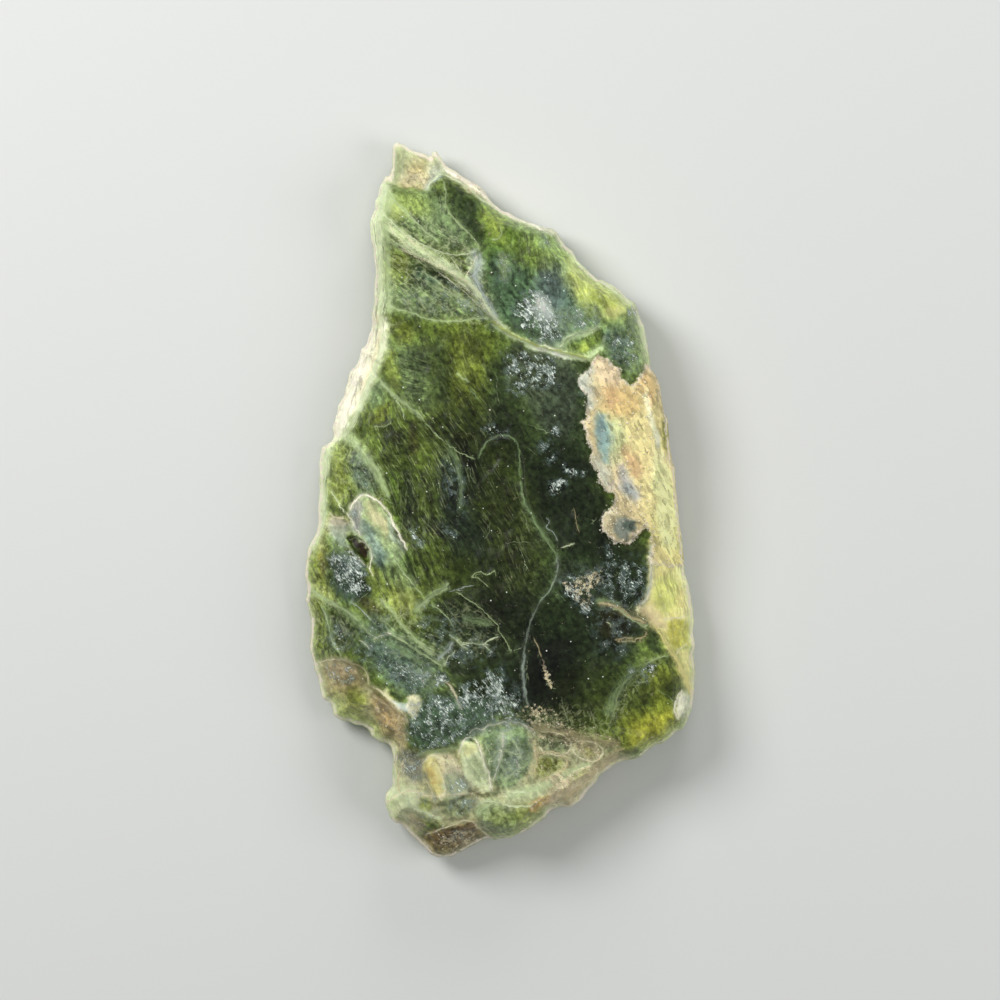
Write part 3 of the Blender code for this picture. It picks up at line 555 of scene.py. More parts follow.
# Pale ribs along the edges of broken sheets and healed cracks: tint, width in millimetres, strength, and
# the line on the drawing grid.
RIBS = rows_in("""
cream .14 .7 386,222 398,238 412,252 424,264
cream .14 .7 400,232 416,246 436,262 450,272
mint .12 .7 432,250 446,262 460,276
mint .12 .6 446,254 456,264 464,277
cream .14 .7 478,256 472,266 466,278
mint .12 .6 470,256 470,268 466,280
ivory .12 .7 436,270 456,286 474,302 490,318
ivory .12 .6 448,272 466,288 482,304 496,322
mint .12 .6 430,276 450,292 470,306 488,322
ivory .12 .6 460,284 474,296 488,312 500,328
ivory .13 .9 349,540 355,536 363,541 370,548 373,557 370,566 374,576
ivory .12 .7 348,546 354,553 361,560 366,566
pale_sage .26 .8 383,240 394,247 410,254 428,264 447,272 464,279
cream .16 .9 400,249 420,260 440,268 464,280 480,293
mint .26 .85 464,279 479,291 486,307 498,322 507,330
chartreuse .22 .95 490,321 504,331 520,339 534,345 553,351 571,355 589,359
mint .2 .8 502,333 534,348 553,354 571,357 589,361
mint .24 .9 382,212 392,222 400,232 418,243 431,250 447,255 462,257 477,253
pale_sage .3 .8 388,190 396,204 410,216 424,232 440,244
mint .22 .6 384,228 404,242 430,258 452,270
pale_sage .2 .7 390,244 412,250 436,266 462,276
pale_sage .24 .75 388,305 398,310 410,312 422,318 438,322 460,322 479,319 491,319
pale_sage .3 .65 444,182 446,194 445,206 449,214 458,224 470,235 478,244 480,252
mist .34 .5 480,252 482,264 476,274 467,281
mint .34 .85 426,190 434,180 441,173 455,180 467,188 479,198 491,205 503,212
pale_sage .2 .6 500,226 502,236 498,240 492,241
mint .22 .85 559,348 565,339 577,334 589,331 600,327
pale_sage .18 .6 566,341 580,337 592,333
pale_sage .26 .8 378,378 388,390 405,402 420,416 426,423
pale_sage .2 .75 426,423 436,435 447,445 459,452 476,460
pale_sage .2 .8 383,383 393,395 400,405 404,414 405,421
pale_sage .26 .8 456,374 462,378 469,383
sage .2 .8 470,388 474,394 479,401
pale_sage .18 .6 374,427 386,427 392,422
pale_sage .2 .7 348,436 360,450 372,466 382,488
mint .2 .8 331,490 338,503 346,514
cream .22 .8 329,511 334,518 346,518
sage .3 .7 478,460 482,448 490,440 502,435 513,438 519,446 520,460 520,480
sage .4 .85 520,480 522,494 527,508
sage .26 .85 527,508 536,524 544,538 553,550 557,556
fog .26 .75 557,554 557,566 556,577 550,590 540,600 533,613 528,628 525,644
fog .3 .6 525,644 523,663 523,680 526,692 529,706
pale_sage .22 .8 395,559 406,574 415,586 424,595
pale_sage .5 .75 416,611 428,597 440,590 449,584
mist .18 .6 449,591 460,588 475,585
pale_sage .2 .75 456,591 467,598 479,606 489,616 498,625 499,631 505,640 512,652
pale_sage .2 .8 430,604 440,609 449,618 455,628
mint .22 .8 449,633 455,638 462,642 475,642 484,644 490,639 499,636
mint .2 .8 484,644 491,650
mint .18 .8 455,638 461,644 467,648
pale_sage .3 .8 387,629 403,640 418,650 432,659 444,667
sage .2 .7 380,652 396,653 414,652
mint .26 .6 444,666 448,656 456,650
cream .3 .8 444,679 453,687 458,701 462,710
pale_sage .34 .75 308,588 320,596 329,602 346,609 360,622
pale_sage .24 .75 322,602 328,622 333,642 342,656
cream .24 .8 318,662 330,659 346,659 362,666 369,674 369,684
cream .26 .85 370,684 384,692 392,702 402,710 408,722
ivory .3 .95 350,511 354,502 359,497 367,494 374,498 383,505 390,514 395,525 401,537 408,551
ivory .2 .8 347,512 352,520 356,528 362,536
sage .36 .7 594,600 606,599 622,604
pale_sage .3 .8 611,608 621,610 631,619 642,627 648,624
sand .24 .6 613,639 628,637 644,638 646,630
sand .16 .6 615,641 628,640 642,641
yellow .34 .75 652,624 659,632 664,642 670,652 679,668 685,679 693,696
cream .22 .8 662,619 672,618 687,616
cream .22 .7 675,654 680,648 687,643
pale_sage .34 .55 612,719 616,699 620,687 629,675 640,668
pale_sage .26 .8 640,668 649,661 663,655 668,656
mist .26 .7 650,544 649,552 651,566 649,588 645,598 638,606
ivory .24 .9 682,688 675,700 673,711 679,720
mint .26 .85 560,548 575,543
sand .1 .6 573,508 576,520 579,532
sand .16 .7 533,637 538,646 542,655
rose .2 .3 542,655 544,667 548,678 549,685
ivory .12 .9 374,639 380,635 386,634 392,632
ivory .1 .8 360,639 365,642 370,648
mist .14 .8 350,601 358,606 368,616 376,624
pale_sage .16 .75 471,577 478,571 486,574 491,573 494,567 496,575
pale_sage .14 .7 471,577 478,577 483,581 489,588
mist .12 .7 547,518 550,522 544,527 553,532 558,541
mint .16 .85 605,622 609,622 610,627
ivory .18 .7 468,732 474,727 482,729 489,723 497,725 505,719 511,723
ivory .18 .6 508,716 514,722 521,721 527,727 532,726 536,733
pale_sage .2 .7 502,727 502,739 498,751 492,756
mint .14 .75 508,728 512,738 518,748 520,756
ivory .14 .7 503,730 504,742 500,754 498,768 492,780
mint .12 .7 486,742 490,754 489,766
ivory .12 .6 516,758 520,766 517,776
mint .12 .6 498,752 510,750 522,756
pale_sage .22 .8 499,788 510,773 527,764 533,760
mint .22 .7 476,788 500,791 527,790
pale_sage .24 .8 418,753 434,749 449,747 460,747
pale_sage .18 .6 531,728 535,738 532,750 536,760 531,772 533,784
sand .26 .75 548,796 566,788 580,776 592,768 612,752 624,746
sand .24 .75 566,782 572,772 584,768 594,766 600,756 592,744
cream .24 .75 424,834 441,828 460,820 472,818 479,828 490,838
pale_sage .24 .7 475,812 481,800 490,796 500,790
sand .3 .7 395,760 400,772 398,786 404,796
ivory .22 .8 459,752 462,742 468,735 477,739 481,751 484,762 490,774 491,789
cream .22 .8 422,763 428,755 438,753 450,756 460,766 462,778
cream .2 .8 427,777 432,792 441,797 446,789 444,776 438,764
cream .3 .8 386,804 396,794 412,788 430,796 446,794 462,792 478,792
mint .24 .8 474,806 486,798 504,804 522,806 536,802
cream .26 .7 574,740 592,740 606,750 594,762 576,756 572,746
cream .26 .7 540,730 560,732 574,742 566,754 548,754 538,744
cream .26 .7 566,776 576,768 592,764 600,770 588,782 570,786
sand .26 .7 536,752 556,750 570,760 560,774 540,778
mist .2 .8 395,677 401,674 409,676
mist .2 .8 411,670 418,674 426,675 428,669
mist .2 .7 488,706 500,700 512,703 520,709
mist .18 .7 489,692 498,696 508,706
""")

# Where the surface is bruised into pale grains: strength, feather in millimetres and outline.
FROST = rows_in("""
.75 .5 444,764 462,766 470,790 450,796
.7 .6 398,746 424,746 426,780 402,786
.6 .6 452,722 478,712 506,706 540,720 520,728 470,734
.85 .6 514,300 530,292 552,296 560,320 562,344 534,340 516,326
1 .5 528,300 538,297 550,306 556,328 546,332 532,322
.8 .5 495,255 508,253 511,270 508,280 498,276
.9 .3 495,280 501,280 500,286 495,285
.75 .7 506,352 536,350 560,368 558,392 534,388 512,396 506,372
.95 .4 546,366 556,372 558,388 552,386 545,374
.8 .4 508,384 516,386 514,396 508,394
.55 .8 556,308 600,308 602,330 560,334
.6 .8 606,334 632,322 642,360 632,378 614,362
.7 .5 622,312 636,306 640,322 628,324
.5 .6 540,228 552,232 556,252 544,256
.55 .6 538,274 556,276 562,288 544,288
.7 .4 480,428 500,425 508,432 496,440 482,434
.6 .5 540,440 552,442 556,462 546,466 540,452
.9 .3 551,424 559,424 560,440 553,441 549,432
.9 .3 562,464 574,464 577,474 566,474
1 .3 549,480 556,484 564,476 567,488 558,494 552,500 549,490
.9 .3 581,469 589,472 588,480 582,478
.45 .8 578,384 590,386 588,402 578,398
.95 .6 330,550 350,556 366,566 372,590 360,598 344,590 330,574
1 .5 346,566 366,572 372,592 356,596 340,580
.9 .4 344,540 352,546 366,562 360,570 346,560
.8 .4 350,512 358,508 363,532 354,534
.75 .4 410,526 420,525 424,544 422,552 416,546
.6 .5 436,524 456,530 458,540 444,536
.4 1 440,460 466,470 466,520 444,506
.4 1 352,448 372,464 374,494 356,494
.65 .8 558,575 604,566 606,578 590,608 566,600
1 .3 562,584 574,582 584,594 578,604 566,598
.9 .3 574,600 590,598 594,610 582,616
.55 .8 596,560 648,556 650,590 636,608 600,600
.7 .4 604,546 616,546 614,562 605,560
.4 1.2 590,600 634,610 630,656 596,650
.7 .9 404,704 436,690 474,700 484,716 458,748 408,752
.85 .9 448,690 480,676 496,664 512,690 530,704 504,722 470,716
.7 .6 384,664 410,664 430,672 420,690 400,688
.9 .3 428,672 440,670 452,680 444,686 432,680
.9 .2 463,689 468,690 467,695 463,694
.6 .6 442,640 460,650 458,664 444,666
.6 .8 326,620 352,628 350,650 332,648
.55 1 352,640 400,650 440,664 430,700 396,690 366,664
.55 .5 356,628 384,624 396,640 376,646
.6 .3 318,666 350,664 362,680 340,690
.6 .5 372,616 388,618 390,632 376,630
.35 1.2 400,600 450,610 500,650 500,670 440,660
.4 1 486,730 528,726 530,780 490,784
.6 .5 444,796 478,794 478,812 448,812
.5 .8 390,786 440,790 440,816 410,820
.7 .3 452,830 474,826 476,836 460,842 446,838
.5 .8 620,668 650,660 656,676 630,684
1 .25 645,662 655,662 657,672 648,674
.5 .8 464,284 480,294 500,328 480,318 440,300 436,284
.35 1.2 400,290 470,300 480,318 400,312
""")

# Where a beige crumb of fine grains coats the stone, drawn as the frost is.
CRUMB = rows_in("""
.9 .15 541,662 545,662 551,678 550,688 545,682
.6 .9 508,704 540,700 566,722 630,738 612,758 560,750 532,740
.35 .8 530,740 600,744 610,760 560,800 530,790
1 .25 548,774 560,772 568,779 564,789 550,789
.65 .3 559,579 577,579 603,568 604,576 592,594 588,610 572,600
.7 .4 400,172 418,168 428,178 424,188 402,186
.6 .3 448,170 486,188 492,202 466,188
.4 .4 406,812 424,816 426,836 410,830
.7 .5 428,840 460,826 476,830 478,844 444,854
.6 .6 372,692 394,704 410,718 408,744 390,738 374,714
.6 .5 432,756 450,754 464,768 456,776 436,770
.5 .5 394,742 408,744 408,776 396,784
.7 .4 530,798 552,794 552,808 532,812
""")

# Where the fibres show, how strongly, and the way they run: the outline's fibres lie at this angle from
# the x axis, in degrees.
FIBRE_SETS = [
    ("fibres_steep", -63.0, rows_in("""
1 1.2 396,400 440,404 480,440 470,500 452,560 420,600 396,560 376,480 360,440
0.8 1 332,440 356,436 384,480 372,520 330,510
0.6 1.2 440,340 490,340 500,420 480,450 440,430
0.9 1 368,560 404,560 424,600 410,630 384,620
0.5 1.5 470,450 540,500 540,600 480,590
0.6 0.8 308,560 330,560 350,610 340,660 314,660
0.7 0.8 560,260 632,306 600,326 566,300
""")),
    ("fibres_fan", -38.0, rows_in("""
1 1 384,200 440,220 480,260 500,330 440,322 384,300
0.8 1 384,620 420,610 470,660 460,700 400,680
0.8 0.8 508,350 560,360 560,400 512,396
0.5 1.2 430,600 500,600 510,660 450,650
0.7 0.8 408,700 470,700 460,744 412,748
0.5 1 600,430 650,440 650,500 612,480
""")),
    ("fibres_flat", -12.0, rows_in("""
0.8 1 394,340 432,344 436,404 408,404 392,370
0.5 0.8 380,440 410,440 410,470 384,470
""")),
    ("fibres_upright", -84.0, rows_in("""
0.7 1 386,470 430,470 430,570 400,560
0.6 1 500,214 560,236 600,290 560,300 500,260
0.5 1.2 600,326 644,330 646,366 620,366
0.6 0.8 652,480 690,520 692,640 660,620 652,560
0.9 0.5 376,200 388,240 388,320 380,360 340,440 326,500 318,500 330,400 366,330 370,240
""")),
]

# Broad pale bands of parted sheets, drawn as the ribs are.
BANDS = rows_in("""
mint 1.3 .9 386,184 381,200 379,224 380,250 381,280 382,306 380,330
pale_sage 1.2 .7 392,192 388,216 388,250 388,290 390,318
ivory 1.7 .95 372,330 366,350 358,372 350,394 343,416 334,436
mint 1.1 .85 384,330 379,356 370,380 362,404 352,426 340,440
cream .7 .8 378,312 380,334 376,356 368,376 360,396
mint 1.3 .85 330,446 324,470 323,500 324,516 318,534 312,552
mint .8 .5 384,224 402,238 424,252 446,264 464,277
mint .5 .6 398,246 420,257 446,270 466,281 480,294
mist 1 .75 474,250 478,266 474,280 486,300 498,322
mint .9 .7 452,272 470,286 486,306 500,326
pale_sage .6 .6 430,286 452,294 474,306 490,322
pale_sage .5 .8 490,324 506,335 530,345 556,353 586,360
pale_sage .7 .7 556,350 566,342 582,336 600,328
pale_sage .7 .7 342,432 356,446 372,464 384,484 390,500
pale_sage .6 .6 376,376 390,392 408,406 424,422
sage .9 .6 446,440 458,462 462,490 460,512
pale_sage .9 .75 414,612 428,598 440,590 450,583
pale_sage .8 .7 308,588 326,600 346,610 362,624 380,642
sage 1.2 .7 340,606 364,626 392,644 420,660 440,680
pale_sage .7 .7 380,596 396,616 416,640 436,656
sage .6 .7 324,604 330,628 336,650
mist .7 .7 436,660 448,650 454,640
sage 1.4 .6 462,616 478,622 494,622
mist .6 .4 524,650 523,674 525,700
sage .8 .6 520,490 528,510 542,532 554,550
sage 1.6 .6 606,716 614,694 628,676 646,664
cream .6 .8 651,544 650,566 650,588 644,602 634,610
sand 1.6 .8 640,606 652,616 660,628
yellow .9 .8 660,628 670,648 682,672 694,696
sand .7 .7 596,602 612,604 630,616 646,624
cream .6 .8 696,590 700,620 700,660
mist 1 .45 470,734 486,724 506,720 524,722 534,732
sand 1.8 .5 532,724 548,730 572,734 600,740 622,744
sand .8 .8 534,736 536,754 532,776
pale_sage 1 .7 506,796 524,790 548,784 572,770 590,762
sand .9 .8 560,800 580,786 598,768 618,754
pale_sage .7 .7 416,754 434,750 452,748 464,742
mint .8 .7 390,788 404,796 424,812 444,818
pale_sage .6 .7 392,750 396,770 392,786
pale_sage .7 .7 474,816 486,804 500,798
sand .6 .8 372,694 388,704 400,716 404,736
mint .5 .7 312,660 318,690 330,706
mist .9 .7 424,192 432,180 444,176
ivory .5 .85 442,168 466,182 486,196 504,214 530,224 556,236
mint .6 .8 556,236 574,256 600,282 628,300 640,324 646,350
""")

# Where the face is a web of fine pale threads: strength, feather in millimetres and outline.
LACE = rows_in("""
.9 .6 372,188 398,188 398,330 372,330
.9 .8 384,200 440,220 480,256 500,330 440,322 384,300
.8 .4 366,330 384,340 372,400 340,440 326,450 330,420 350,370
.7 .5 304,540 324,530 330,560 330,600 360,624 340,660 306,650
.7 .6 372,590 424,600 448,660 430,690 396,672 380,640
.5 .6 440,600 496,610 504,650 460,660
.9 .5 514,706 566,722 626,742 606,772 560,806 530,792 532,744
.7 .5 482,730 526,726 530,780 486,786
.7 .6 392,746 480,750 540,790 480,832 420,824 388,800
.8 .5 560,256 600,284 632,306 600,326 566,300
.6 .6 600,330 646,330 648,370 616,368
.8 .4 634,608 650,600 700,600 700,700 676,660 656,630
.7 .5 600,720 614,690 640,662 664,652 660,672 630,690 620,724
.6 .8 560,700 620,720 600,740 540,724
.6 .5 654,540 664,500 690,500 700,600 650,600
.6 .6 320,450 356,436 390,500 372,510 330,510
""")

# The cleavage plane under the slab: the body's colours, with broken-off areas that are paler.
BACK_AREAS = BODY_AREAS + rows_in("""
sage .6 2 380,180 480,200 600,290 620,340 520,300 400,330
olive .6 2.5 330,480 380,460 400,600 360,690 320,640
yellow .5 2 650,540 700,560 700,700 650,730 640,640
sand .5 1.5 400,800 470,790 560,780 600,770 540,850 420,860
""")

# The stage: softboxes by name, place in metres, size across in metres and watts, and the camera.
SOFTBOXES = [
    ("key", (-0.22, 0.16, 0.26), 0.18, 1.25),
    ("fill", (0.28, -0.04, 0.22), 0.24, 0.55),
    ("edge", (0.06, 0.3, 0.14), 0.16, 0.4),
]
CAMERA_LENS, CAMERA_SENSOR = 300.0, 36.0  # mm
SILHOUETTE_HEIGHT = 0.003  # metres over the floor


def linear(shares):
    """sRGB shares, from 0 to 1, as linear ones."""
    shares = np.asarray(shares, float)
    return np.where(shares <= 0.04045, shares / 12.92, ((shares + 0.055) / 1.055) ** 2.4)


def shares_of(code):
    """The red, green and blue shares of an sRGB hex colour."""
    return np.array([int(code[i : i + 2], 16) for i in (1, 3, 5)]) / 255.0


def colour(code):
    """An sRGB hex colour as the linear colour that shaders and properties take."""
    return (*[float(share) for share in linear(shares_of(code))], 1.0)


def plan(points):
    """Points of the drawing grid as an array of x and y in millimetres from the stone's middle."""
    grid = np.asarray(points, float)
    return (grid - GRID_CENTRE) * (UNIT_MM, -UNIT_MM)


def smooth_step(value, low, high):
    """0 up to low, 1 from high, and a smooth rise between them."""
    t = np.clip((value - low) / (high - low), 0.0, 1.0)
    return t * t * (3.0 - 2.0 * t)


def rough(points, unevenness, octaves=3):
    """Fractal noise at each point, with lumps of the height and the size across that are given."""
    lump, size, seed = unevenness
    shift = Vector((seed * 17.3, seed * 5.1, seed * 9.7))
    height = points[:, 2] if points.shape[1] > 2 else np.zeros(len(points))
    return lump * np.array([
        noise.fractal(Vector((x / size, y / size, z / size)) + shift, 1.0, 2.1, octaves)
        for x, y, z in zip(points[:, 0], points[:, 1], height)
    ])


def shaken(points, *unevennesses):
    """The points moved in the plan by each unevenness, which has one noise for x and one for y."""
    moves = [
        sum(rough(points, (lump, size, seeds[axis])) for lump, size, *seeds in unevennesses)
        for axis in (0, 1)
    ]
    return points + np.stack(moves, axis=1)


def nearest_on_line(points, line, closed):
    """Distance from each point to a line of segments, the side it lies on and the place along the line.

    The side is positive to the left of the line. The place counts segments from the line's start.
    """
    starts = line if closed else line[:-1]
    ends = np.roll(line, -1, axis=0) if closed else line[1:]
    best = np.full(len(points), np.inf)
    side = np.zeros(len(points))
    place = np.zeros(len(points))
    for index, (start, end) in enumerate(zip(starts, ends)):
        run = end - start
        to_point = points - start
        share = np.clip(to_point @ run / (run @ run), 0.0, 1.0)
        offset = to_point - share[:, None] * run
        distance = np.hypot(offset[:, 0], offset[:, 1])
        nearer = distance < best
        best[nearer] = distance[nearer]
        side[nearer] = (run[0] * to_point[:, 1] - run[1] * to_point[:, 0])[nearer]
        place[nearer] = index + share[nearer]
    return best, side, place


def full_between_ends(place, line, over):
    """1 along a line, and less over so many segments at each of its ends."""
    return smooth_step(place, 0.0, over) * smooth_step(len(line) - 1 - place, 0.0, over)


def depth_inside(points, outline):
    """Distance to a closed outline: positive inside it and negative outside."""
    distance, _, _ = nearest_on_line(points, outline, closed=True)
    inside = np.zeros(len(points), bool)
    for (x0, y0), (x1, y1) in zip(outline, np.roll(outline, -1, axis=0)):
        crosses = (y0 > points[:, 1]) != (y1 > points[:, 1])
        if y0 != y1:
            cut = x0 + (points[:, 1] - y0) * (x1 - x0) / (y1 - y0)
            inside ^= crosses & (points[:, 0] < cut)
    return np.where(inside, distance, -distance)


def ragged_outline():
    """The silhouette with the small nicks of a broken edge, in millimetres."""
    corners = plan(OUTLINE)
    points = []
    for start, end in zip(corners, np.roll(corners, -1, axis=0)):
        pieces = max(1, round(float(np.hypot(*(end - start))) / OUTLINE_SPACING))
        points += [start + (end - start) * k / pieces for k in range(pieces)]
    return shaken(np.array(points), EDGE_NICKS)


def rim_at(points, outline):
    """The rim's three measures at the part of the silhouette nearest to each point, and the depth inside."""
    depth = depth_inside(points, outline)
    _, _, place = nearest_on_line(points, outline, closed=True)
    _, _, stations = nearest_on_line(plan([row[-1][0] for row in RIM]), outline, closed=True)
    order = np.argsort(stations)
    measures = np.array([row[:-1] for row in RIM])[order]
    found = [np.interp(place, stations[order], column, period=len(outline)) for column in measures.T]
    return depth, found


def near(points, line, reach):
    """The points that lie within the reach of a line's own box, as a list of true and false."""
    return np.all((points > line.min(axis=0) - reach) & (points < line.max(axis=0) + reach), axis=1)


def patch(points, outline, feather):
    """How far each point is inside a closed outline: 0 outside, 1 inside, and between across the feather."""
    cover = np.zeros(len(points))
    close = near(points, outline, feather)
    if close.any():
        cover[close] = smooth_step(depth_inside(points[close], outline), -feather, feather)
    return cover


def depth_near(points, outline, reach):
    """How deep inside the outline each point is, no further out than the reach, in millimetres."""
    depth = np.full(len(points), -reach)
    close = near(points, outline, reach)
    depth[close] = np.maximum(depth_inside(points[close], outline), -reach)
    return depth


def painted_light_gain(points):
    """The painted light or shade at each point of the front, as a gain on its colour against sound stone of a
    middling thickness.
    """
    gain = np.ones(len(points))
    for level, feather, outline in PAINTED_LIGHT_AREAS:
        gain *= PAINTED_LIGHT_LEVELS[level] ** patch(points, rounded(plan(outline)), feather)
    return gain


def step_up(points, sheet, wander):
    """The height that a sheet adds at each point, with the wander of its broken edge."""
    _, step, width, outline = sheet
    line = plan(outline)
    rise = np.zeros(len(points))
    close = near(points, line, width + abs(wander).max())
    depth = depth_inside(points[close], line) + wander[close]
    rise[close] = step * smooth_step(depth, -width / 2, width / 2)
    return rise


def scarp_height(points, line, height, fade):
    """The rise to one side of a scarp, which fades across the face and towards the scarp's ends."""
    track = plan(line)
    distance, side, place = nearest_on_line(points, track, closed=False)
    ends = full_between_ends(place, track, 1.5)
    edge = smooth_step(distance * np.sign(side), -SCARP_EDGE / 2, SCARP_EDGE / 2)
    return height * ends * edge * np.exp(-distance / fade)


def front_height(points, rim):
    """Height of the front over the floor, in millimetres."""
    x, y = points[:, 0], points[:, 1]
    thinning = TIP_THINNING * np.maximum(y - TIP_THINS_FROM, 0.0) ** 2
    face = FACE_HEIGHT + TILT_RIGHT * x - TILT_TIP * y - CROWN * x * x - thinning
    face += rough(points, FACE_SWELLS, 2) + rough(points, FACE_RIPPLES)
    wander = rough(points, LEDGE_WANDER)
    for sheet in FRONT_SHEETS:
        face += step_up(points, sheet, wander)
    for height, fade, line in SCARPS:
        face += scarp_height(points, line, height, fade)
    depth, (wall_top, slope_width, broken) = rim
    uneven = rough(points, SLOPE_WANDER) + rough(points, SLOPE_NICKS)
    climb = np.clip((depth + uneven * np.minimum(depth, 1.0)) / slope_width, 0.0, 1.0)
    rise = 1.0 - (1.0 - climb) ** SLOPE_ROUNDING
    tread = rise * SLOPE_LEDGES
    ledges = (np.floor(tread) + smooth_step(tread % 1.0, *LEDGE_TREAD)) / SLOPE_LEDGES
    rise += broken * (ledges - rise)
    return wall_top + np.maximum(face - wall_top, LEAST_RISE) * rise + rough(points, FACE_GRAIN) * climb


def rounded(corners, closed=True):
    """A line with its corners cut, so that it bends as a drawn line does."""
    ahead = np.roll(corners, -1, axis=0)
    cut = np.stack([0.75 * corners + 0.25 * ahead, 0.25 * corners + 0.75 * ahead], axis=1)
    if closed:
        return cut.reshape(-1, 2)
    return np.concatenate([corners[:1], cut[:-1].reshape(-1, 2), corners[-1:]])


def weight_map(points, areas):
    """The strongest cover at each point of areas of strength, feather and outline."""
    weight = np.zeros(len(points))
    for strength, feather, outline in areas:
        weight = np.maximum(weight, strength * patch(points, rounded(plan(outline)), feather))
    return weight


def tinted(shares, cover, tint):
    """The colour shares once a tint covers them, each by its own cover from 0 to 1."""
    return shares + cover[:, None] * (shares_of(TINTS[tint]) - shares)


def laid_over(shares, points, areas):
    """The colour shares at each point once areas of tint, strength, feather and outline cover them."""
    for tint, strength, feather, outline in areas:
        shares = tinted(shares, strength * patch(points, rounded(plan(outline)), feather), tint)
    return shares


def body_shares(moved, areas, depth, edge_spread):
    """The sRGB shares of a face by its areas, with a painted glow that makes it paler towards the thin edge
    all round.
    """
    shares = laid_over(np.tile(shares_of(TINTS["moss"]), (len(moved), 1)), moved, areas)
    for tint, reach, strength in EDGE_GLOW_TINTS:
        shares = tinted(shares, strength * smooth_step(-depth, -edge_spread * reach, 0.0), tint)
    return shares


def drawn_ribs():
    """Every rib and band as its tint, half width in millimetres, strength and rounded track."""
    for tint, width, strength, line in RIBS + BANDS:
        yield tint, 0.5 * width, strength, rounded(plan(line), closed=False)


def rib_glow(points):
    """How close each point is to each rib, as pairs of the rib's tint and a share from 0 to 1.

    The points are moved first as a crack strays, so that what is drawn straight comes out natural.
    """
    points = shaken(points, STRAY)
    for tint, half, strength, track in drawn_ribs():
        sigma = half + RIB_BLUR
        glow = np.zeros(len(points))
        close = near(points, track, 2.5 * sigma)
        distance, _, place = nearest_on_line(points[close], track, closed=False)
        ends = RIB_END_GLOW + (1.0 - RIB_END_GLOW) * full_between_ends(place, track, 1.0)
        glow[close] = strength * np.exp(-((distance / sigma) ** 2)) * ends
        yield tint, glow


def strands(points, ribs):
    """What a material needs to draw the ribs' strands, for the rib that shows most at each point.

    That is the signed distance to it, the place along it and its cover, its half width, and its shares.
    """
    place, half_width = np.zeros((len(points), 3)), np.full(len(points), 0.1)
    shares = np.tile(shares_of(TINTS["pale_sage"]), (len(points), 1))
    best = np.zeros(len(points))
    for tint, half, strength, track in ribs:
        reach = half + STRAND_MARGIN
        close = np.nonzero(near(points, track, reach))[0]
        if not len(close):
            continue
        distance, side, spot = nearest_on_line(points[close], track, closed=False)
        run = spot * np.hypot(*np.diff(track, axis=0).T).sum() / (len(track) - 1)
        ends = full_between_ends(spot, track, 0.8)
        shown = strength * (1.0 - distance / reach)
        won = shown > best[close]
        chosen = close[won]
        best[chosen] = shown[won]
        cover = strength * ends * smooth_step(reach - distance, 0.0, STRAND_MARGIN)
        place[chosen] = np.stack([distance * np.sign(side), run, cover], axis=1)[won]
        half_width[chosen] = half
        shares[chosen] = shares_of(TINTS[tint])
    return place, half_width, shares


def grain_across(points, degrees, seed):
    """Noise of long fibres that run at an angle from the x axis."""
    turn = math.radians(degrees)
    along = points @ np.array([math.cos(turn), math.sin(turn)])
    across = points @ np.array([-math.sin(turn), math.cos(turn)])
    return rough(np.stack([along / FIBRE_LENGTH, across / FIBRE_WIDTH], axis=1), (1.0, 1.0, seed), 2)


def front_skin(points):
    """The points moved as a stain creeps, and there the cover of each of the front's skins, by name."""
    moved = shaken(points, SPREAD, SEEP)
    skin = {"frost": weight_map(moved, FROST), "crumb": weight_map(moved, CRUMB)}
    skin["lace"] = weight_map(moved, LACE)
    skin["crust"] = patch(moved, plan(CRUST_PLAN), CRUST_FEATHER)
    for name, _, areas in FIBRE_SETS:
        skin[name] = weight_map(moved, areas) * (1.0 - skin["crust"])
    return moved, skin


def front_shares(points, moved, skin, depth):
    """The sRGB shares of the front, by the seeped points, their skins and their depth inside."""
    shares = body_shares(moved, COLOUR_AREAS, depth, 1.0)
    for tint, glow in rib_glow(points):
        shares = tinted(shares, RIB_HALO * glow, tint)
    crusted = laid_over(shares, moved, CRUST_AREAS)
    return shares + skin["crust"][:, None] * (crusted - shares)


def front_relief(points, skin):
    """Height of the front's finest forms, in millimetres."""
    lip = np.zeros(len(points))
    for _, glow in rib_glow(points):
        lip = np.maximum(lip, glow)
    relief = RIB_LIP * lip + rough(points, FACE_DIMPLES)
    for seed, (name, degrees, _) in enumerate(FIBRE_SETS, start=FIBRE_RIDGES):
        relief += FIBRE_DEPTH * skin[name] * grain_across(points, degrees, seed)
    relief += skin["frost"] * rough(points, FROST_BUMPS)
    relief += skin["crumb"] * rough(points, CRUMB_BUMPS)
    crust = CRUST_RISE + rough(points, CRUST_LUMPS) + rough(points, CRUST_GRAIN)
    return relief + skin["crust"] * crust


def new_piece(name, mesh, material):
    """A piece of the stone in the scene: smooth, finished with the material and moving with the stone."""
    piece = bpy.data.objects.new(name, mesh)
    bpy.context.scene.collection.objects.link(piece)
    mesh.name = name
    mesh.materials.clear()
    mesh.materials.append(material)
    mesh.polygons.foreach_set("use_smooth", np.ones(len(mesh.polygons), bool))
    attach(piece, "root")
    return piece


def vector_field(mesh, name):
    """The places or the normals of a mesh's vertices as an array."""
    values = np.zeros(len(mesh.vertices) * 3)
    mesh.vertices.foreach_get(name, values)
    return values.reshape(-1, 3)


def set_places(mesh, places):
    """Moves a mesh's vertices."""
    mesh.vertices.foreach_set("co", places.ravel())
    mesh.update()


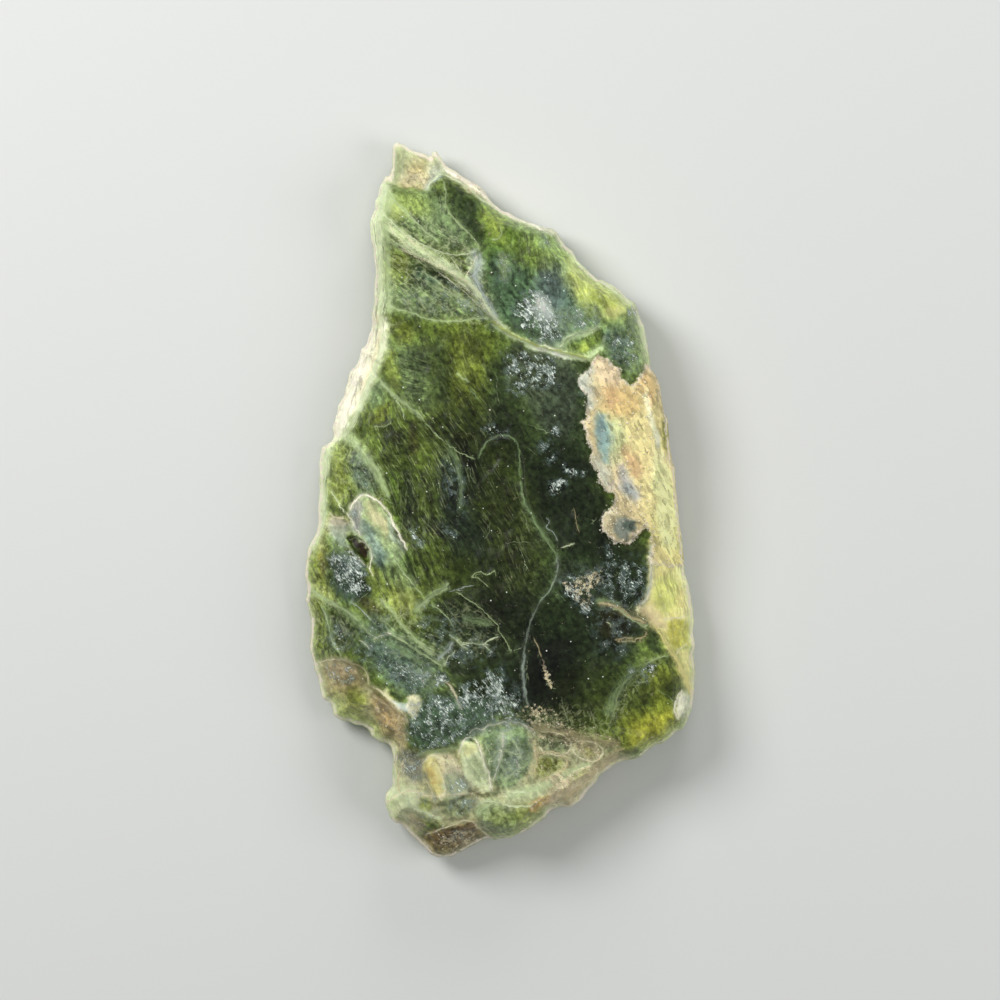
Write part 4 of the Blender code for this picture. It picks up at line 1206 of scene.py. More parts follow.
def store(mesh, name, values):
    """Keeps a number, or a colour in linear shares, for each vertex under a name that materials read."""
    if values.ndim == 1:
        layer = mesh.attributes.new(name, "FLOAT", "POINT")
        layer.data.foreach_set("value", values)
    else:
        layer = mesh.attributes.new(name, "FLOAT_COLOR", "POINT")
        full = np.concatenate([values, np.ones((len(values), 1))], axis=1)
        layer.data.foreach_set("color", full.ravel())


def with_modifier(mesh, kind, vertex_group=None, **settings):
    """A new mesh as the modifier leaves the old one, which is removed."""
    helper = bpy.data.objects.new("helper", mesh)
    bpy.context.scene.collection.objects.link(helper)
    modifier = helper.modifiers.new(kind.title(), kind)
    if vertex_group is not None:
        group = helper.vertex_groups.new(name="chosen")
        group.add([int(i) for i in vertex_group], 1.0, "REPLACE")
        modifier.vertex_group = group.name
    for name, value in settings.items():
        setattr(modifier, name, value)
    graph = bpy.context.evaluated_depsgraph_get()
    made = bpy.data.meshes.new_from_object(helper.evaluated_get(graph))
    bpy.data.objects.remove(helper)
    bpy.data.meshes.remove(mesh)
    return made


def slab_in_millimetres():
    """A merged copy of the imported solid, in millimetres."""
    bm = bmesh.new()
    bm.from_mesh(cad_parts["antigorite"].data)
    bmesh.ops.remove_doubles(bm, verts=bm.verts, dist=MERGE_WITHIN)
    bmesh.ops.scale(bm, vec=(1.0 / MM,) * 3, verts=bm.verts)
    mesh = bpy.data.meshes.new("slab")
    bm.to_mesh(mesh)
    bm.free()
    return mesh


def give_relief(mesh, outline):
    """Moves the vertices of the slab onto its full front, its dimpled back and its layered walls."""
    places, normals = vector_field(mesh, "co"), vector_field(mesh, "normal")
    flat = places[:, :2].copy()
    depth, measures = rim_at(flat, outline)
    facing = smooth_step(normals[:, 2], *FRONT_FACING) * smooth_step(depth, *RIM_BLEND)
    front = np.nonzero(facing > 0.0)[0]
    _, skin = front_skin(flat[front])
    height = front_height(flat[front], (depth[front], [m[front] for m in measures]))
    height += front_relief(flat[front], skin) * smooth_step(depth[front], *RELIEF_GROWS)
    places[front, 2] += facing[front] * (height - places[front, 2])

    below = np.nonzero((normals[:, 2] < -FRONT_FACING[0]) & (places[:, 2] > PLANE_SKIN))[0]
    off_plane = smooth_step(places[below, 2], PLANE_SKIN, 4.0 * PLANE_SKIN)
    places[below, 2] += off_plane * rough(flat[below], BACK_DIMPLES)
    places[:, 2] = np.maximum(places[:, 2], 0.0)

    level = 1.0 - np.abs(normals[:, 2])
    sideways = np.nonzero(level > WALL_FACING[0])[0]
    outward = normals[sideways, :2] / np.linalg.norm(normals[sideways, :2], axis=1)[:, None]
    strata = rough(places[sideways] * WALL_SHEETS_SQUASH, WALL_SHEETS, 2)
    strata *= smooth_step(level[sideways], *WALL_FACING)
    places[sideways, :2] += outward * np.minimum(strata, WALL_MOST_OUT)[:, None]
    set_places(mesh, places)


def paint(mesh, outline, settings):
    """Stores the colour with its painted light and shade, the skins and the strands of the stone on a mesh in
    millimetres.
    """
    places, normals = vector_field(mesh, "co"), vector_field(mesh, "normal")
    flat = places[:, :2]
    depth = depth_inside(flat, outline)
    moved, skin = front_skin(flat)
    shares = front_shares(flat, moved, skin, depth)
    back = smooth_step(-normals[:, 2], *BACK_FACING)
    shares = shares + back[:, None] * (body_shares(moved, BACK_AREAS, depth, 2.0) - shares)
    # Painted light and shade: the painted light areas brighten or darken the front's colour but not the
    # back's, and the brightest painted light is washed towards grey.
    gain = painted_light_gain(moved) ** (1.0 - back)
    tint = linear(np.clip(shares, 0.0, 1.0)) * gain[:, None]
    washed = PAINTED_GLOW_WASH * smooth_step(gain, *PAINTED_GLOW_GAIN)[:, None]
    tint += washed * (tint.mean(axis=1, keepdims=True) - tint)
    store(mesh, "tint", np.clip(tint, 0.0, MOST_TINT))
    store(mesh, "crust_depth", depth_near(moved, plan(CRUST_PLAN), 1.0) - SUNK * back)
    store(mesh, "rim_depth", depth + SUNK * smooth_step(LIP_FACING - normals[:, 2], 0.0, LIP_FADE))
    for name, cover in skin.items():
        store(mesh, name, cover * (1.0 - back * (name != "fibres_steep")))
    ribs = list(drawn_ribs())
    layers = {"rib": ribs[: len(RIBS)] + hairlines(settings.hairlines), "band": ribs[len(RIBS) :]}
    strayed = shaken(flat, STRAY)
    for name, layer in layers.items():
        place, half_width, tints = strands(strayed, layer)
        place[:, 2] *= (1.0 - back) * (1.0 - CRUST_HIDES * skin["crust"])
        store(mesh, name + "_place", place)
        store(mesh, name + "_half", half_width)
        store(mesh, name + "_tint", linear(tints))


def make_stone(settings):
    """The slab itself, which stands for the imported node."""
    outline = ragged_outline()
    mesh = with_modifier(slab_in_millimetres(), "REMESH", mode="VOXEL", voxel_size=settings.detail / MM)
    give_relief(mesh, outline)
    below = np.nonzero(vector_field(mesh, "normal")[:, 2] < -BACK_THINNED)[0]
    mesh = with_modifier(mesh, "DECIMATE", vertex_group=below, ratio=settings.back_detail)
    paint(mesh, outline, settings)
    places = vector_field(mesh, "co") * MM
    places[:, 2] = np.maximum(places[:, 2], 0.0)
    set_places(mesh, places)
    return new_piece("antigorite_stone", mesh, waxy_serpentine(settings))


def hairlines(count):
    """Hair-fine cracks scattered over the face, as ribs are given to strands."""
    rng = np.random.default_rng(HAIRLINE_SEED)
    outline = plan(OUTLINE)
    low, high = outline.min(axis=0), outline.max(axis=0)
    tracks = []
    while len(tracks) < count:
        start = rng.uniform(low, high)
        if depth_inside(start[None, :], outline)[0] < HAIRLINE_MARGIN:
            continue
        angle = math.radians(rng.choice(HAIRLINE_WAYS) + rng.normal(0.0, HAIRLINE_STRAY))
        length, bend = rng.uniform(*HAIRLINE_LENGTH), rng.normal(0.0, HAIRLINE_BEND)
        turns = angle + bend * np.linspace(0.0, 1.0, HAIRLINE_STEPS)
        steps = np.stack([np.cos(turns), np.sin(turns)], axis=1) * length / HAIRLINE_STEPS
        half, strength = rng.uniform(*HAIRLINE_WIDTH) / 2, rng.uniform(*HAIRLINE_STRENGTH)
        tracks.append(("pale_sage", half, strength, start + np.cumsum(steps, axis=0)))
    return tracks


def make_grains(settings, surface):
    """Grains cemented to the crust, the crumbled patches and the frosted places."""
    rng = np.random.default_rng(GRAIN_SEED)
    bm = bmesh.new()
    bmesh.ops.create_icosphere(bm, subdivisions=1, radius=1.0)
    pebble = bpy.data.meshes.new("pebble")
    bm.to_mesh(pebble)
    bm.clear()
    outline = plan(OUTLINE)
    low, high = outline.min(axis=0), outline.max(axis=0)
    places = rng.uniform(low, high, (GRAIN_TRIES, 2))
    places = places[depth_inside(places, outline) > GRAIN_MARGIN]
    moved, skin = front_skin(places)
    border = np.exp(-((depth_inside(moved, plan(CRUST_PLAN)) / BORDER_WIDTH) ** 2))
    chance = BORDER_CHANCE * border + STRAY_CHANCE
    chance += sum(share * skin[name] for name, share in GRAIN_CHANCES.items())
    chosen = np.nonzero(rng.uniform(0.0, 1.0, len(places)) < chance * settings.grain_share)[0]
    count = 0
    for index in chosen:
        above = Vector((*(places[index] * MM), ABOVE))
        place, normal, _, _ = surface.ray_cast(above, Vector((0.0, 0.0, -1.0)))
        if place is None or normal.z < GRAIN_FACING:
            continue
        frosted = skin["frost"][index] > FROSTED
        size = rng.uniform(*GRAIN_SIZE) * MM * (FROSTED_SIZE if frosted else 1.0)
        turn = Euler(rng.uniform(0.0, math.tau, 3)).to_matrix().to_4x4()
        squash = Matrix.Diagonal((*(size * rng.uniform(*GRAIN_SQUASH, 3)), 1.0))
        copy = pebble.copy()
        copy.transform(Matrix.Translation(place + GRAIN_LIFT * size * normal) @ turn @ squash)
        bm.from_mesh(copy)
        bpy.data.meshes.remove(copy)
        count += 1
    mesh = bpy.data.meshes.new("grains")
    bm.to_mesh(mesh)
    bm.free()
    flat = vector_field(mesh, "co")[:, :2] / MM
    moved, skin = front_skin(flat)
    shares = front_shares(flat, moved, skin, depth_inside(flat, outline))
    bleach = np.repeat(rng.uniform(*GRAIN_BLEACH, count), len(pebble.vertices))
    shares = tinted(shares, bleach, "ivory")
    store(mesh, "tint", linear(np.clip(shares, 0.0, 1.0)))
    return new_piece("antigorite_grains", mesh, weathered_crumb())


def add(tree, kind, inputs=None, **settings):
    """A new shader node's outputs. It gets its settings, and a value or a link for each input named."""
    node = tree.nodes.new("ShaderNode" + kind)
    for name, value in settings.items():
        setattr(node, name, value)
    for name, value in (inputs or {}).items():
        if isinstance(value, bpy.types.NodeSocket):
            tree.links.new(value, node.inputs[name])
        else:
            node.inputs[name].default_value = value
    return node.outputs


def empty_material(name):
    """A material whose tree holds nothing."""
    material = bpy.data.materials.new(name)
    material.use_nodes = True
    material.node_tree.nodes.clear()
    return material, material.node_tree


def millimetres(tree):
    """The place on the piece, in millimetres."""
    place = add(tree, "TexCoord")["Object"]
    return add(tree, "VectorMath", {0: place, 1: (1.0 / MM,) * 3}, operation="MULTIPLY")[0]


def waxy_serpentine(settings):
    """Antigorite split along its cleavage: a waxy, slightly translucent serpentine.

    To the eye that is a deep green body with pale fibres lying in it, a soft gloss that breaks at each
    bruise, dry frosted spots and, on the shoulder, a dull sandy crust of weathered grains.
    """
    material, tree = empty_material("waxy_cleaved_serpentine")
    mm = millimetres(tree)
    tint = add(tree, "Attribute", attribute_name="tint")["Color"]
    skin = {name: add(tree, "Attribute", attribute_name=name)["Fac"] for name in ("frost", "crumb", "lace")}

    # Clouds of iron-rich and iron-poor stone 2.4 mm across, and a mottle of 0.5 mm inside them.
    clouds = add(tree, "TexNoise", {"Vector": mm, "Scale": 1 / CLOUD, "Detail": 5.0, "Roughness": 0.62})
    mottle = add(tree, "TexNoise", {"Vector": mm, "Scale": 1 / MOTTLE, "Detail": 4.0,
        "Roughness": 0.7})["Fac"]
    cloud_shade = add(tree, "MapRange", dict(zip(RANGE, (clouds["Fac"], 0.32, 0.68, 0.55, 1.45))))["Result"]
    mottle_shade = add(tree, "MapRange", dict(zip(RANGE, (mottle, 0.36, 0.64, 0.5, 1.5))))["Result"]
    shade = add(tree, "Math", {0: cloud_shade, 1: mottle_shade}, operation="MULTIPLY")[0]

    # The course of the fibres bends by up to 0.6 mm over 7 mm as it goes.
    bends = add(tree, "TexNoise", {"Vector": mm, "Scale": 1 / BEND, "Detail": 1.0})
    drift = add(tree, "VectorMath", {0: bends["Color"], 1: (2.2, 2.2, 0.0), 2: (-1.3, -1.3, 0.0)},
        operation="MULTIPLY_ADD")[0]
    drift = add(tree, "VectorMath", {0: clouds["Color"], 1: (0.4, 0.4, 0.0), 2: drift},
        operation="MULTIPLY_ADD")[0]
    flow = add(tree, "VectorMath", {0: mm, 1: drift}, operation="ADD")[0]

    # Facets where the sheets part, 0.8 mm long and 0.3 mm wide, each with its own depth of colour.
    laid = add(tree, "Mapping", {"Vector": flow, "Rotation": (0.0, 0.0, FACETS_RUN), "Scale": FACET},
        vector_type="TEXTURE")["Vector"]
    ragged = add(tree, "VectorMath", {0: add(tree, "TexNoise", {"Vector": mm, "Scale": 1 / RAGGED,
        "Detail": 3.0, "Roughness": 0.7})["Color"], 1: (0.9, 0.9, 0.0), 2: laid}, operation="MULTIPLY_ADD")[0]
    facets = add(tree, "TexVoronoi", {"Vector": ragged, "Scale": 1.0})
    facet = add(tree, "SeparateColor", {"Color": facets["Color"]})["Red"]
    facet_shade = add(tree, "MapRange", dict(zip(RANGE, (facet, 0.0, 1.0, 0.6, 1.42))))["Result"]
    shade = add(tree, "Math", {0: shade, 1: facet_shade}, operation="MULTIPLY")[0]
    # Pale stone scatters the light, so it shows its clouds and facets less.
    paleness = add(tree, "RGBToBW", {"Color": tint})["Val"]
    calm = add(tree, "MapRange", dict(zip(RANGE, (paleness, 0.12, 0.5, 0.0, 0.75))))["Result"]
    shade = add(tree, "Mix", {0: calm, 2: shade, 3: 1.0}, data_type="FLOAT")[0]
    body = add(tree, "VectorMath", {0: tint, "Scale": shade}, operation="SCALE")[0]

    # Fibres 0.22 mm across and 1.7 mm long, along the way that each part of the face grew.
    strokes = gaps = None
    for name, degrees, _ in FIBRE_SETS:
        weight = add(tree, "Attribute", attribute_name=name)["Fac"]
        turned = add(tree, "Mapping", {"Vector": flow, "Rotation": (0.0, 0.0, math.radians(degrees)),
            "Scale": FIBRE}, vector_type="TEXTURE")["Vector"]
        fibre = add(tree, "TexNoise", {"Vector": turned, "Scale": 1.0, "Detail": 4.0,
            "Roughness": 0.66})["Fac"]
        stroke = add(tree, "MapRange", dict(zip(RANGE, (fibre, 0.54, 0.62))))["Result"]
        sheaf = add(tree, "Mapping", {"Vector": flow, "Rotation": (0.0, 0.0, math.radians(degrees)),
            "Scale": SHEAF}, vector_type="TEXTURE")["Vector"]
        sheaf = add(tree, "TexNoise", {"Vector": sheaf, "Scale": 1.0, "Detail": 4.0,
            "Roughness": 0.62})["Fac"]
        gap = add(tree, "MapRange", dict(zip(RANGE, (sheaf, 0.54, 0.4))))["Result"]
        stroke = add(tree, "Math", {0: stroke, 1: weight}, operation="MULTIPLY")[0]
        gap = add(tree, "Math", {0: gap, 1: weight}, operation="MULTIPLY")[0]
        if strokes is None:
            strokes, gaps = stroke, gap
        else:
            strokes = add(tree, "Math", {0: strokes, 1: stroke}, operation="MAXIMUM")[0]
            gaps = add(tree, "Math", {0: gaps, 1: gap}, operation="MAXIMUM")[0]
    bundle = add(tree, "TexNoise", {"Vector": mm, "Scale": 1 / BUNDLE, "Detail": 2.0})["Fac"]
    bundle = add(tree, "MapRange", dict(zip(RANGE, (bundle, 0.4, 0.6, 0.25,
        settings.fibre_strength))))["Result"]
    stroke_cover = add(tree, "Math", {0: strokes, 1: bundle}, operation="MULTIPLY")[0]
    gap_shade = add(tree, "MapRange", dict(zip(RANGE, (gaps, 0.0, 1.0, 1.3, 0.4))))["Result"]
    body = add(tree, "VectorMath", {0: body, "Scale": gap_shade}, operation="SCALE")[0]
    lit = add(tree, "VectorMath", {0: body, "Scale": 3.0}, operation="SCALE")[0]
    lit = add(tree, "Mix", {0: 0.45, 6: lit, 7: (*settings.fibre_colour, 1.0)}, data_type="RGBA")[2]
    body = add(tree, "Mix", {0: stroke_cover, 6: body, 7: lit}, data_type="RGBA")[2]

    # A web of threads round large and small cells, broken here and there.
    web = None
    for cell, thread in WEB:
        edges = add(tree, "TexVoronoi", {"Vector": flow, "Scale": 1 / cell},
            feature="DISTANCE_TO_EDGE")["Distance"]
        line = add(tree, "MapRange", dict(zip(RANGE, (edges, 1.6 * thread / cell,
            0.3 * thread / cell))))["Result"]
        web = line if web is None else add(tree, "Math", {0: web, 1: line}, operation="MAXIMUM")[0]
    kept = add(tree, "MapRange", dict(zip(RANGE, (mottle, 0.42, 0.6))))["Result"]
    web = add(tree, "Math", {0: web, 1: kept}, operation="MULTIPLY")[0]
    web = add(tree, "Math", {0: web, 1: skin["lace"]}, operation="MULTIPLY")[0]
    web_cover = add(tree, "Math", {0: web, 1: settings.web_strength}, operation="MULTIPLY")[0]
    body = add(tree, "Mix", {0: web_cover, 6: body, 7: (*settings.web_colour, 1.0)}, data_type="RGBA")[2]

    # Bands and ribs: strands 0.1 mm thick that run along them and thin out towards their edges.
    stray = add(tree, "Math", {0: mottle, 1: 0.44, 2: -0.22}, operation="MULTIPLY_ADD")[0]
    lips = None
    for name, reach in (("band", 0.75), ("rib", 0.85)):
        place_on = add(tree, "Attribute", attribute_name=name + "_place")["Vector"]
        half = add(tree, "Attribute", attribute_name=name + "_half")["Fac"]
        own_tint = add(tree, "Attribute", attribute_name=name + "_tint")["Color"]
        parts = add(tree, "SeparateXYZ", {0: place_on})
        across = add(tree, "Math", {0: parts["X"], 1: stray}, operation="ADD")[0]
        lane = add(tree, "CombineXYZ", {"X": parts["Y"], "Y": across})[0]
        lane = add(tree, "VectorMath", {0: lane, 1: (1 / STRAND[0], 1 / STRAND[1], 0.0)},
            operation="MULTIPLY")[0]
        strand = add(tree, "TexNoise", {"Vector": lane, "Scale": 1.0, "Detail": 3.0,
            "Roughness": 0.65})["Fac"]
        off = add(tree, "Math", {0: across}, operation="ABSOLUTE")[0]
        off = add(tree, "Math", {0: off, 1: half}, operation="DIVIDE")[0]
        core = add(tree, "MapRange", dict(zip(RANGE, (off, 0.0, 1.25, reach, -0.1))))["Result"]
        lit = add(tree, "Math", {0: strand, 1: 1.7, 2: core}, operation="MULTIPLY_ADD")[0]
        cover = add(tree, "MapRange", dict(zip(RANGE, (lit, 1.1, 1.6))))["Result"]
        cover = add(tree, "Math", {0: cover, 1: parts["Z"]}, operation="MULTIPLY")[0]
        strand_shade = add(tree, "MapRange", dict(zip(RANGE, (strand, 0.35, 0.65, 0.8, 1.35))))["Result"]
        own_tint = add(tree, "VectorMath", {0: own_tint, "Scale": strand_shade}, operation="SCALE")[0]
        body = add(tree, "Mix", {0: cover, 6: body, 7: own_tint}, data_type="RGBA")[2]
        lips = cover if lips is None else add(tree, "Math", {0: lips, 1: cover}, operation="MAXIMUM")[0]

    # Bruises: dark gaps, ragged pale patches, and drifts of splinters 0.38 mm long and 0.15 mm wide.
    speckled = add(tree, "Mapping", {"Vector": flow, "Rotation": (0.0, 0.0, SPLINTERS_RUN),
        "Scale": SPLINTER}, vector_type="TEXTURE")["Vector"]
    specks = add(tree, "TexNoise", {"Vector": speckled, "Scale": 1.0, "Detail": 4.0,
        "Roughness": 0.72})["Fac"]
    drifts = add(tree, "TexNoise", {"Vector": mm, "Scale": 1 / DRIFT, "Detail": 5.0,
        "Roughness": 0.74})["Fac"]
    gap_shade = add(tree, "MapRange", dict(zip(RANGE, (skin["frost"], 0.0, 1.0, 1.0, 0.5))))["Result"]
    body = add(tree, "VectorMath", {0: body, "Scale": gap_shade}, operation="SCALE")[0]
    haze = add(tree, "MapRange", dict(zip(RANGE, (drifts, 0.49, 0.56, 0.0, 0.7))))["Result"]
    haze = add(tree, "Math", {0: haze, 1: skin["frost"]}, operation="MULTIPLY")[0]
    body = add(tree, "Mix", {0: haze, 6: body, 7: (*settings.haze_colour, 1.0)}, data_type="RGBA")[2]
    specks_lifted = add(tree, "Math", {0: drifts, 1: 0.9, 2: specks}, operation="MULTIPLY_ADD")[0]
    specks_lifted = add(tree, "Math", {0: skin["frost"], 1: 0.32, 2: specks_lifted},
        operation="MULTIPLY_ADD")[0]
    frost = add(tree, "MapRange", dict(zip(RANGE, (specks_lifted, 1.27, 1.3))))["Result"]
    curls = add(tree, "TexNoise", {"Vector": speckled, "Scale": 0.5, "Detail": 2.0, "Roughness": 0.6})["Fac"]
    curls = add(tree, "Math", {0: curls, 1: 0.5}, operation="SUBTRACT")[0]
    curls = add(tree, "Math", {0: curls}, operation="ABSOLUTE")[0]
    curls = add(tree, "MapRange", dict(zip(RANGE, (curls, 0.028, 0.01))))["Result"]
    curled = add(tree, "MapRange", dict(zip(RANGE, (specks_lifted, 1.17, 1.25, 0.0, 0.9))))["Result"]
    curls = add(tree, "Math", {0: curls, 1: curled}, operation="MULTIPLY")[0]
    frost = add(tree, "Math", {0: frost, 1: curls}, operation="MAXIMUM")[0]
    speck_shade = add(tree, "MapRange", dict(zip(RANGE, (specks, 0.5, 0.68, 0.7, 1.7))))["Result"]
    speck_tint = add(tree, "VectorMath", {0: settings.frost_colour, "Scale": speck_shade},
        operation="SCALE")[0]
    body = add(tree, "Mix", {0: frost, 6: body, 7: speck_tint}, data_type="RGBA")[2]

    # Crumb: grains about 0.3 mm across, some in shade and some bleached, with gaps between them.
    grit = add(tree, "TexNoise", {"Vector": mm, "Scale": 1 / GRIT, "Detail": 5.0, "Roughness": 0.78})["Fac"]
    crumb_lifted = add(tree, "Math", {0: drifts, 1: 0.9, 2: grit}, operation="MULTIPLY_ADD")[0]
    crumb_lifted = add(tree, "Math", {0: skin["crumb"], 1: 0.34, 2: crumb_lifted},
        operation="MULTIPLY_ADD")[0]
    crumb = add(tree, "MapRange", dict(zip(RANGE, (crumb_lifted, 1.16, 1.26, 0.0, 0.9))))["Result"]
    crumb_shade = add(tree, "Math", {0: facet, 1: grit}, operation="ADD")[0]
    crumb_shade = add(tree, "MapRange", dict(zip(RANGE, (crumb_shade, 0.5, 1.5, 0.4, 1.45))))["Result"]
    crumb_tint = add(tree, "VectorMath", {0: settings.crumb_colour, "Scale": crumb_shade},
        operation="SCALE")[0]
    body = add(tree, "Mix", {0: crumb, 6: body, 7: crumb_tint}, data_type="RGBA")[2]

    # Crust: smooth stains with drifts of grit, and a bleached edge 0.2 mm wide that is ragged to 0.1 mm.
    fray = add(tree, "Math", {0: grit, 1: 0.7, 2: -0.35}, operation="MULTIPLY_ADD")[0]
    fray = add(tree, "Math", {0: mottle, 1: 1.2, 2: fray}, operation="MULTIPLY_ADD")[0]
    fray = add(tree, "Math", {0: fray, 1: -0.6}, operation="ADD")[0]
    inside = add(tree, "Attribute", attribute_name="crust_depth")["Fac"]
    inside = add(tree, "Math", {0: inside, 1: fray}, operation="ADD")[0]
    crust = add(tree, "MapRange", dict(zip(RANGE, (inside, -0.03, 0.03))))["Result"]
    bleach = add(tree, "MapRange", dict(zip(RANGE, (inside, 0.32, 0.08, 0.0, 0.75))))["Result"]
    gritty = add(tree, "MapRange", dict(zip(RANGE, (drifts, 0.48, 0.62, 0.0, 0.8))))["Result"]
    grit_shade = add(tree, "MapRange", dict(zip(RANGE, (grit, 0.38, 0.62, 0.76, 1.4))))["Result"]
    crust_shade = add(tree, "Mix", {0: gritty, 2: facet_shade, 3: grit_shade}, data_type="FLOAT")[0]
    crusted = add(tree, "Mix", {0: bleach, 6: tint, 7: (*settings.bleach_colour, 1.0)}, data_type="RGBA")[2]
    crusted = add(tree, "VectorMath", {0: crusted, "Scale": crust_shade}, operation="SCALE")[0]
    body = add(tree, "Mix", {0: crust, 6: body, 7: crusted}, data_type="RGBA")[2]

    # The bleached lip of the outline, 0.2 mm wide, broken where it has chipped.
    brink = add(tree, "Attribute", attribute_name="rim_depth")["Fac"]
    brink = add(tree, "Math", {0: brink, 1: fray}, operation="ADD")[0]
    lip = add(tree, "MapRange", dict(zip(RANGE, (brink, 0.34, 0.16, 0.0, 0.9))))["Result"]
    body = add(tree, "Mix", {0: lip, 6: body, 7: (*settings.bleach_colour, 1.0)}, data_type="RGBA")[2]

    # Painted glints of fresh cleavage, 0.13 mm across, in some of the cells of 0.8 mm: pale dots laid into
    # the colour.
    cells = add(tree, "TexVoronoi", {"Vector": mm, "Scale": 1 / GLINT})
    dot = add(tree, "MapRange", dict(zip(RANGE, (cells["Distance"], 0.1, 0.06))))["Result"]
    draw = add(tree, "SeparateColor", {"Color": cells["Color"]})["Red"]
    picked = add(tree, "Math", {0: draw, 1: 0.78}, operation="GREATER_THAN")[0]
    painted_glint = add(tree, "Math", {0: dot, 1: picked}, operation="MULTIPLY")[0]
    body = add(tree, "Mix", {0: painted_glint, 6: body, 7: (*settings.painted_glint_colour, 1.0)}, data_type="RGBA")[2]

    # Wax where it is sound, dry where it is bruised, and chalky on the crust.
    dry = add(tree, "Math", {0: frost, 1: crumb}, operation="MAXIMUM")[0]
    dry = add(tree, "Math", {0: dry, 1: crust}, operation="MAXIMUM")[0]
    gloss = add(tree, "MapRange", dict(zip(RANGE, (mottle, 0.35, 0.65, settings.roughness - 0.06,
        settings.roughness + 0.14))))["Result"]
    roughness = add(tree, "Mix", {0: dry, 2: gloss, 3: 0.8}, data_type="FLOAT")[0]

    # The finest relief: fibres stand 0.01 mm proud, ribs and specks 0.03 mm, and grains of the crust 0.04 mm.
    height = add(tree, "Math", {0: strokes, 1: 0.35, 2: frost}, operation="MULTIPLY_ADD")[0]
    height = add(tree, "Math", {0: lips, 1: 0.8, 2: height}, operation="MULTIPLY_ADD")[0]
    height = add(tree, "Math", {0: mottle, 1: 0.6, 2: height}, operation="MULTIPLY_ADD")[0]
    rough_height = add(tree, "Math", {0: dry, 1: grit}, operation="MULTIPLY")[0]
    height = add(tree, "Math", {0: rough_height, 1: 2.5, 2: height}, operation="MULTIPLY_ADD")[0]
    bump = add(tree, "Bump", {"Strength": 0.7, "Distance": 0.00004, "Height": height})
    shader = add(tree, "BsdfPrincipled", {"Base Color": body, "Roughness": roughness,
        "Normal": bump["Normal"], "IOR": 1.56, "Specular IOR Level": 0.22,
        "Subsurface Weight": settings.translucency, "Subsurface Radius": (0.5, 1.0, 0.25),
        "Subsurface Scale": 0.0006})
    add(tree, "OutputMaterial", {"Surface": shader["BSDF"]})
    return material


def weathered_crumb():
    """Grains of weathered serpentine and iron-stained silica: dry, sandy, each a little different."""
    material, tree = empty_material("weathered_crumb")
    mm = millimetres(tree)
    tint = add(tree, "Attribute", attribute_name="tint")["Color"]
    grit = add(tree, "TexNoise", {"Vector": mm, "Scale": 1 / PEBBLE_GRIT, "Detail": 3.0,
        "Roughness": 0.7})["Fac"]
    shade = add(tree, "MapRange", dict(zip(RANGE, (grit, 0.35, 0.65, 0.8, 1.2))))["Result"]
    body = add(tree, "VectorMath", {0: tint, "Scale": shade}, operation="SCALE")[0]
    bump = add(tree, "Bump", {"Strength": 0.6, "Distance": 0.00002, "Height": grit})
    shader = add(tree, "BsdfPrincipled", {"Base Color": body, "Roughness": 0.82, "Normal": bump["Normal"],
        "IOR": 1.54, "Specular IOR Level": 0.4})
    add(tree, "OutputMaterial", {"Surface": shader["BSDF"]})
    return material


def painted_board(settings):
    """A board with a flat paint: the paper-like grain of a roller, hardly to be seen."""
    material, tree = empty_material("flat_painted_board")
    mm = millimetres(tree)
    stipple = add(tree, "TexNoise", {"Vector": mm, "Scale": 1 / STIPPLE, "Detail": 3.0})["Fac"]
    bump = add(tree, "Bump", {"Strength": 0.2, "Distance": 0.00002, "Height": stipple})
    shader = add(tree, "BsdfPrincipled", {"Base Color": (*settings.floor_colour, 1.0), "Roughness": 0.9,
        "Normal": bump["Normal"]})
    add(tree, "OutputMaterial", {"Surface": shader["BSDF"]})
    return material


def make_stage(settings):
    """The floor, the soft lights, the dim room and the camera that looks straight down."""
    scene = bpy.context.scene
    bm = bmesh.new()
    bmesh.ops.create_grid(bm, x_segments=1, y_segments=1, size=settings.floor_size / 2)
    mesh = bpy.data.meshes.new("floor")
    bm.to_mesh(mesh)
    bm.free()
    floor = bpy.data.objects.new("floor", mesh)
    scene.collection.objects.link(floor)
    mesh.materials.append(painted_board(settings))
    floor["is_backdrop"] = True
    for name, place, size, watts in SOFTBOXES:
        light = bpy.data.lights.new(name, "AREA")
        light.shape = "DISK"
        light.size = size
        light.energy = watts * settings.light_strength
        box = bpy.data.objects.new(name, light)
        box.location = place
        box.rotation_euler = (-Vector(place)).to_track_quat("-Z", "Y").to_euler()
        scene.collection.objects.link(box)
    world = bpy.data.worlds.new("dim room")
    world.use_nodes = True
    background = world.node_tree.nodes["Background"]
    background.inputs["Color"].default_value = (*settings.room_colour, 1.0)
    background.inputs["Strength"].default_value = settings.room_strength
    scene.world = world
    lens = bpy.data.cameras.new("camera")
    lens.lens, lens.sensor_width = CAMERA_LENS, CAMERA_SENSOR
    lens.clip_start, lens.clip_end = 0.05, 10.0
    camera = bpy.data.objects.new("camera", lens)
    distance = settings.frame_width * CAMERA_LENS / CAMERA_SENSOR
    camera.location = (0.0, 0.0, SILHOUETTE_HEIGHT + distance)
    scene.collection.objects.link(camera)
    scene.camera = camera
    scene.view_settings.view_transform = "Standard"


